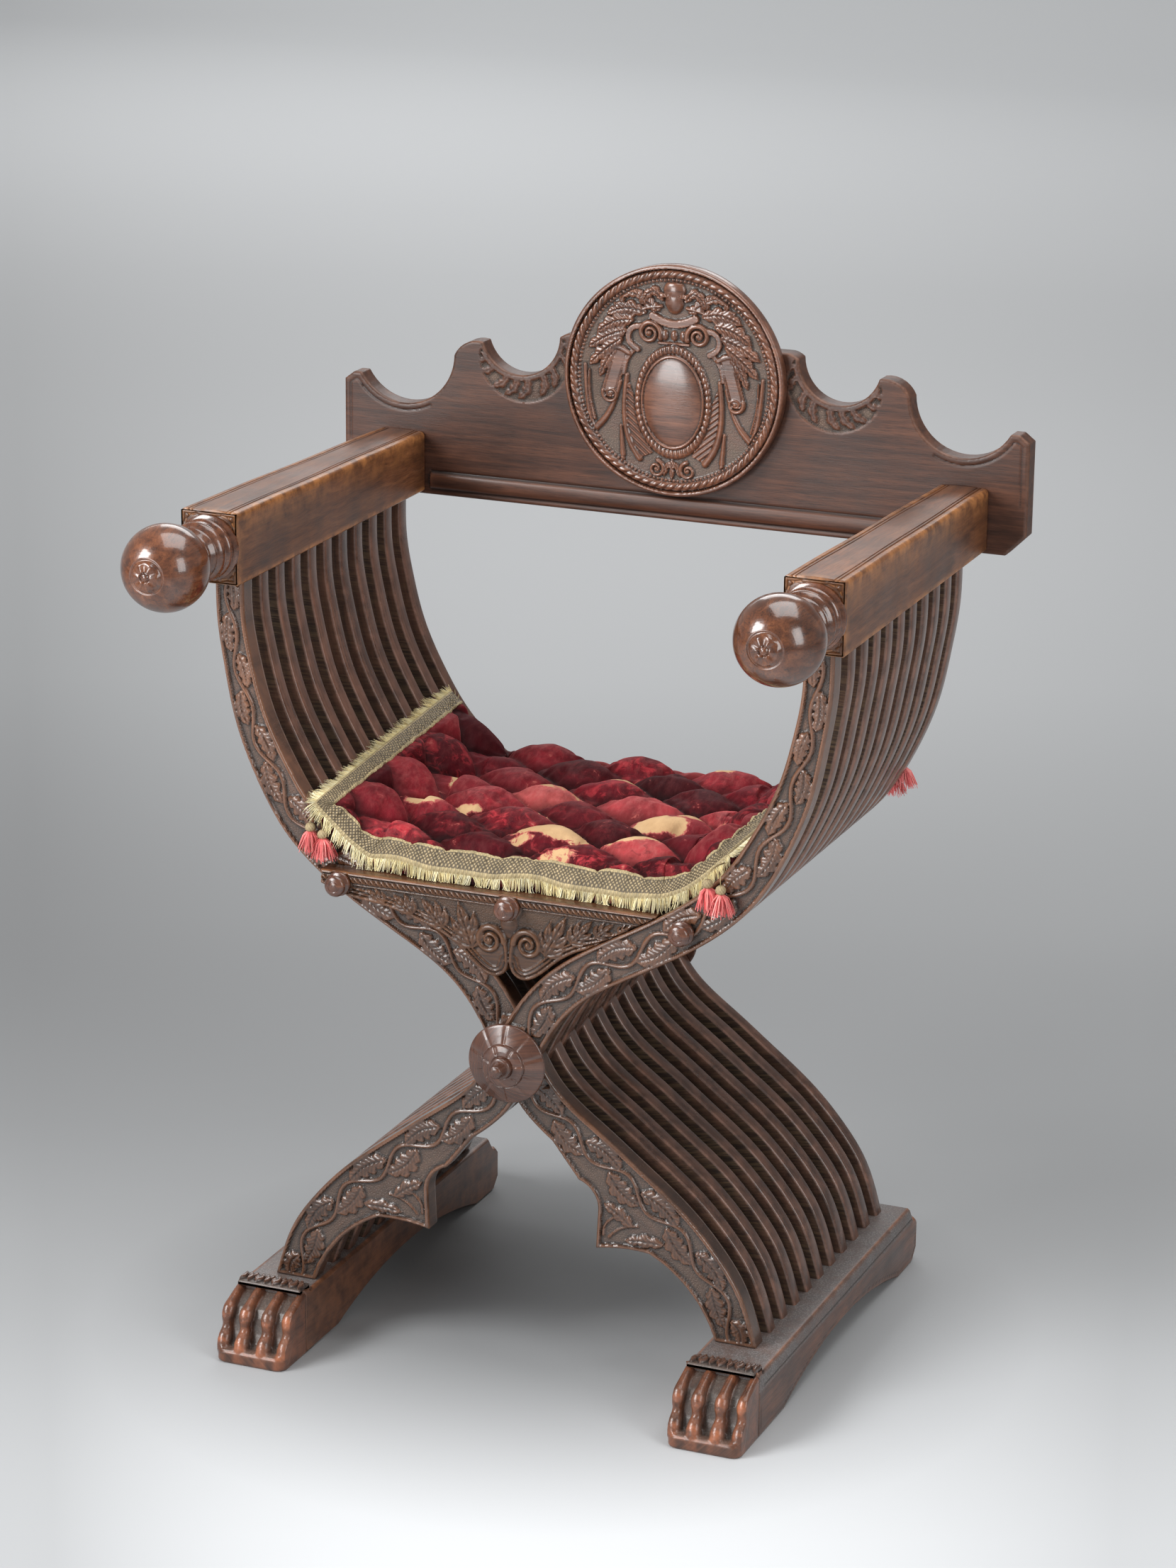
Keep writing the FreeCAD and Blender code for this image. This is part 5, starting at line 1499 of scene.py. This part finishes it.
def makeCushion():
    points, base, pins, flat, puff = padShape()
    nv, nu = points.shape[:2]
    points = settleVelvet(points, pins)
    index = np.arange(nu * nv).reshape(nv, nu)
    faces = quads(index)[:, [0, 3, 2, 1]].tolist()
    loop = np.concatenate([index[0, :-1], index[:-1, -1], index[-1, :0:-1], index[:0:-1, 0]])
    under = base.reshape(-1, 3)[loop]
    ring = np.arange(len(loop)) + nu * nv
    for k in range(len(loop)):
        m = (k + 1) % len(loop)
        faces.append([int(loop[k]), int(ring[k]), int(ring[m]), int(loop[m])])
    columns = np.unique(np.linspace(0, nu - 1, 24).astype(int))
    rows = np.unique(np.linspace(0, nv - 1, 12).astype(int))
    bottom = base[np.ix_(rows, columns)].reshape(-1, 3)
    first = nu * nv + len(loop)
    for r in range(len(rows) - 1):
        for c in range(len(columns) - 1):
            a = first + r * len(columns) + c
            faces.append([a, a + len(columns), a + len(columns) + 1, a + 1])
    verts = np.vstack([points.reshape(-1, 3), under, bottom])
    obj = pieceFrom("cushionVelvet", verts, faces)
    setPointValue(obj, "crown", np.concatenate([(puff / pad["puff"]).ravel(), np.zeros(len(verts) - nu * nv)]))
    where = np.vstack([flat.reshape(-1, 2), under[:, :2], bottom[:, :2]])
    setUv(obj, where * mm)
    setPointValue(obj, "alongSeat", where[:, 0])
    setPointValue(obj, "acrossSeat", where[:, 1])
    obj.modifiers.new("finer", "SUBSURF").levels = 1
    applyAll(obj)
    s, y = pointValue(obj, "alongSeat"), pointValue(obj, "acrossSeat")
    cell = np.floor(np.stack(puffPlace(s, y), -1))
    tone, mottle = (0.3 + 0.25 * np.sin(cell @ (2.1, 3.7))), 0.3 + 0.3 * np.sin(cell @ (1.3, 5.1))
    for px, py, shade, rough in puffs:
        here = (cell == np.floor(np.array(puffPlace(px, py)))).all(1)
        tone[here], mottle[here] = shade, rough
    patch = np.zeros(len(s))
    for px, py, wide, deep, turn, strength in bald:
        t = math.radians(turn)
        ax = (s - px) * math.cos(t) + (y - py) * math.sin(t)
        ay = -(s - px) * math.sin(t) + (y - py) * math.cos(t)
        here = (cell == np.floor(np.array(puffPlace(px, py)))).all(1)
        patch = np.maximum(patch, here * strength * soft(1.4 - np.hypot(ax / wide, ay / deep)))
    setPointValue(obj, "patch", patch)
    setPointValue(obj, "tone", tone)
    setPointValue(obj, "mottle", mottle)
    smoothShade(obj, 80)
    braid, fringe = makeBraid(points), makeFringe(points)
    silk, knots = makeTassels()
    dress(obj, "cushion", velvet, ["cushion"])
    dress(braid, "cushion", braidWeave)
    dress(fringe, "cushion", fringeSilk)
    dress(silk, "cushion", tasselSilk, ["cushion_tassels"])
    dress(knots, "cushion", knotCord)
    for piece in (obj, braid, fringe, silk, knots):
        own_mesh(piece)
    print("cushion made")


def makeVelvet():
    f = Finish("wornVelvet")
    tone, patch, crown, mottle = (f.value(key) for key in ("tone", "patch", "crown", "mottle"))
    cloud = f.noise(f.place, 26.0, 5.0, 0.62)
    streak = f.noise(f.mapped(f.place, (210, 90, 90), 0.5), 1.0, 5.0, 0.7)
    rags = f.noise(f.place, 75.0, 7.0, 0.68, 0.8)
    pile = f.noise(f.place, 900.0, 2.0)
    colour = f.ramp(tone, (0.0, (0.030, 0.001, 0.003)), (0.35, (0.115, 0.004, 0.010)), (0.7, (0.27, 0.024, 0.032)),
                    (1.0, (0.52, 0.100, 0.092)))
    colour = f.shade(colour, f.ramp(cloud, (0.3, 0.5), (0.55, 1.0), (0.75, 1.5)))
    # crushed pile: bright and nearly black flecks in the mottled puffs
    colour = f.mix(f.times(mottle, f.ramp(rags, (0.50, 0.0), (0.60, 1.0))), colour, (0.40, 0.030, 0.040))
    colour = f.mix(f.times(mottle, f.ramp(rags, (0.36, 0.9), (0.44, 0.0))), colour, (0.035, 0.001, 0.006))
    # rubbed pile on the crowns is paler and pinker
    rubbed = f.times(crown, f.ramp(streak, (0.45, 0.0), (0.72, 1.0)))
    rubbed = f.times(rubbed, f.ramp(tone, (0.3, 0.10), (0.9, 0.8)), True)
    colour = f.mix(rubbed, colour, (0.52, 0.15, 0.14))
    # painted shade: darker in the creases and on the low slopes of each puff
    colour = f.shade(colour, f.ramp(crown, (0.10, 0.2), (0.55, 1.0)))
    # bald patches with ragged rims
    ragged = f.calc("ADD", f.calc("ADD", f.times(patch, 1.05), f.times(rags, 2.0)), f.times(streak, 0.35))
    half = f.ramp(f.calc("SUBTRACT", ragged, 1.06), (0.40, 0.0), (0.56, 1.0))
    full = f.ramp(f.calc("SUBTRACT", ragged, 1.26), (0.40, 0.0), (0.48, 1.0))
    colour = f.mix(f.times(half, 0.8), colour, (0.50, 0.13, 0.11))
    colour = f.mix(full, colour, f.ramp(cloud, (0.3, (0.46, 0.28, 0.14)), (0.7, (0.68, 0.46, 0.25))))
    nap = f.times(f.calc("SUBTRACT", 1.0, full, True), f.times(tone, 0.75))
    height = f.calc("ADD", f.times(streak, 0.8), f.times(pile, 0.35))
    return f.done(colour, (height, 0.5, 0.0011), Sheen_Weight=nap, Roughness=0.62, Sheen_Roughness=0.38,
                  Sheen_Tint=(1.0, 0.24, 0.24), Specular_IOR_Level=0.10)


def makeThread(name, rough, *stops):
    f = Finish(name)
    cloud = f.ramp(f.noise(f.place, 60.0, 3.0), (0.3, 0.6), (0.7, 1.25))
    return f.done(f.shade(f.ramp(f.value("tone"), *stops), cloud, 0.5), Roughness=rough)


def makeBraidWeave():
    f = Finish("braidWeave")
    uv = f.uv()
    one, two = (f.node("TexWave", {"Vector": f.mapped(uv, (1, 1, 1), turn), "Scale": 140.0, "Distortion": 2.5,
                                   "Detail": 2.0}).outputs["Fac"] for turn in (0.9, -0.9))
    both = f.times(one, two)
    across = f.node("SeparateXYZ", {0: uv}).outputs[1]
    rim = f.calc("GREATER_THAN", f.calc("ABSOLUTE", f.calc("SUBTRACT", across, 0.0065)), 0.0046)
    colour = f.ramp(both, (0.0, (0.075, 0.056, 0.030)), (0.3, (0.235, 0.175, 0.098)), (1.0, (0.56, 0.44, 0.25)))
    colour = f.mix(f.times(rim, 0.55), colour, (0.58, 0.46, 0.24))
    colour = f.shade(colour, f.ramp(f.noise(uv, 110.0, 5.0), (0.3, 0.55), (0.7, 1.3)), 0.7)
    return f.done(colour, (both, 0.8, 0.0008), Roughness=0.55)


velvet = makeVelvet()
braidWeave = makeBraidWeave()
fringeSilk = makeThread("fringeSilk", 0.7, (0.0, (0.70, 0.58, 0.30)), (0.5, (0.93, 0.84, 0.53)),
                        (1.0, (0.97, 0.92, 0.68)))
tasselSilk = makeThread("coralSilk", 0.5, (0.0, (0.60, 0.09, 0.09)), (0.5, (0.82, 0.17, 0.17)),
                        (0.98, (0.92, 0.33, 0.30)), (1.0, (0.30, 0.22, 0.10)))
knotCord = makeThread("knotCord", 0.7, (0.4, (0.16, 0.11, 0.06)), (0.9, (0.46, 0.36, 0.20)))
makeCushion()


# the nodes that keep their CAD shape

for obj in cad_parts.values():
    obj.data.materials.clear()
    obj.data.materials.append(wood["slat"])


# stage, light and camera

studio = {"camera": (1.367, -3.275, 1.596), "azimuth": 22.4, "elevation": 17.2, "roll": 0.6, "lens": 99.74,
          # the floor's painted light and shade, by depth and side
          "floorPlaces": (0.25, 0.28, 0.32, 0.37, 0.45, 0.58, 0.75, 1.00),
          "floorLeft": (0.48, 0.41, 0.24, 0.18, 0.32, 0.47, 0.41, 0.23),
          "floorMiddle": (0.79, 0.59, 0.23, 0.24, 0.48, 0.61, 0.49, 0.30),
          "floorRight": (0.58, 0.40, 0.29, 0.27, 0.43, 0.57, 0.50, 0.34),
          "world": 0.34}

# place, target, size and power of each lamp
lamps = {
    "bigSoftLeft": ((-2.2, -2.4, 2.6), (0, 0, 0.5), (1.6, 1.6), 118),
    "lowSoftLeft": ((-1.4, -3.3, 0.9), (0, 0, 0.6), (1.2, 1.2), 45),
    "topBack": ((-1.0, 3.2, 2.6), (0, 0, 0.5), (2.5, 1.2), 24),
    "overhead": ((0.4, 0.3, 3.2), (0, 0, 0.4), (2.2, 2.2), 52),
    "fillRight": ((2.9, -1.3, 1.7), (0, 0, 0.4), (1.2, 2.0), 34),
    "behind": ((-4.2, 6.6, 3.6), (-4.0, 8.0, 0), (5.0, 3.0), 240)}


def makeStage():
    bpy.ops.mesh.primitive_plane_add(size=14, location=(0, 3.2, 0))
    floor = bpy.context.object
    floor.name = "floor"
    makeActive(floor)
    bpy.ops.object.mode_set(mode="EDIT")
    bpy.ops.mesh.select_all(action="DESELECT")
    bpy.ops.object.mode_set(mode="OBJECT")
    for edgeItem in floor.data.edges:
        if all(floor.data.vertices[v].co.y > 1 for v in edgeItem.vertices):
            edgeItem.select = True
    bpy.ops.object.mode_set(mode="EDIT")
    bpy.ops.mesh.select_mode(type="EDGE")
    bpy.ops.mesh.extrude_region_move(TRANSFORM_OT_translate={"value": (0, 0, 9)})
    bpy.ops.mesh.select_all(action="DESELECT")
    bpy.ops.object.mode_set(mode="OBJECT")
    for edgeItem in floor.data.edges:
        points = [floor.data.vertices[v].co for v in edgeItem.vertices]
        edgeItem.select = all(p.y > 1 and p.z < 1 for p in points)
    bpy.ops.object.mode_set(mode="EDIT")
    bpy.ops.mesh.bevel(offset=2.6, segments=16)
    bpy.ops.object.mode_set(mode="OBJECT")
    smoothShade(floor, 60)
    f = Finish("paleSweep")
    # painted light and shade: paler in front and far behind, and a little darker to both sides
    depth = f.calc("ADD", f.vector("DOT_PRODUCT", f.place, (-0.381, 0.925, 0), out="Value"), 6.51)
    across = f.calc("ADD", f.vector("DOT_PRODUCT", f.place, (0.925, 0.381, 0), out="Value"), 1.20)
    slope = f.times(f.calc("DIVIDE", across, depth), 7.4)
    far = f.times(depth, 0.08)
    left, shade, right = (f.ramp(far, *zip(studio["floorPlaces"], studio[key]), smooth=True)
                          for key in ("floorLeft", "floorMiddle", "floorRight"))
    for ramp, sign in ((left, -1.0), (right, 1.0)):
        half = f.times(slope, sign, True)
        shade = f.mix(f.times(half, half, True), shade, ramp)
    # painted shadow: darker round where the chair stands
    near = f.vector("LENGTH", f.vector("ADD", f.place, (0, 3.2, 0)), out="Value")
    shade = f.shade(shade, f.ramp(near, (0.10, (0.56, 0.575, 0.59)), (0.42, (0.95, 0.975, 1.0))))
    floor.data.materials.append(f.done(shade, Roughness=0.9))


def makeLights():
    world = bpy.data.worlds.new("studioWorld")
    bpy.context.scene.world = world
    world.use_nodes = True
    world.node_tree.nodes["Background"].inputs[0].default_value = (1.0, 0.98, 0.96, 1)
    world.node_tree.nodes["Background"].inputs[1].default_value = studio["world"]
    for name, (location, target, size, power) in lamps.items():
        bpy.ops.object.light_add(type="AREA", location=location)
        lamp = bpy.context.object
        lamp.name = name
        lamp.data.shape = "RECTANGLE"
        lamp.data.size, lamp.data.size_y = size
        lamp.data.energy = power
        lamp.rotation_euler = (Vector(target) - Vector(location)).to_track_quat("-Z", "Y").to_euler()


def makeCamera():
    camera = bpy.data.objects.new("camera", bpy.data.cameras.new("camera"))
    bpy.context.collection.objects.link(camera)
    camera.location = studio["camera"]
    az, el = math.radians(studio["azimuth"]), math.radians(studio["elevation"])
    back = Vector((math.sin(az) * math.cos(el), -math.cos(az) * math.cos(el), math.sin(el)))
    quat = back.to_track_quat("Z", "Y")
    camera.rotation_mode = "QUATERNION"
    right, up = quat @ Vector((1, 0, 0)), quat @ Vector((0, 1, 0))
    roll = math.radians(studio["roll"])
    r2 = right * math.cos(roll) + up * math.sin(roll)
    u2 = up * math.cos(roll) - right * math.sin(roll)
    camera.rotation_quaternion = Matrix((r2, u2, back)).transposed().to_quaternion()
    camera.data.sensor_fit = "AUTO"
    camera.data.sensor_width = 36
    camera.data.lens = studio["lens"]
    camera.data.clip_end = 60
    bpy.context.scene.camera = camera
    bpy.context.scene.view_settings.view_transform = "Standard"


makeStage()
makeLights()
makeCamera()
print("stage made")
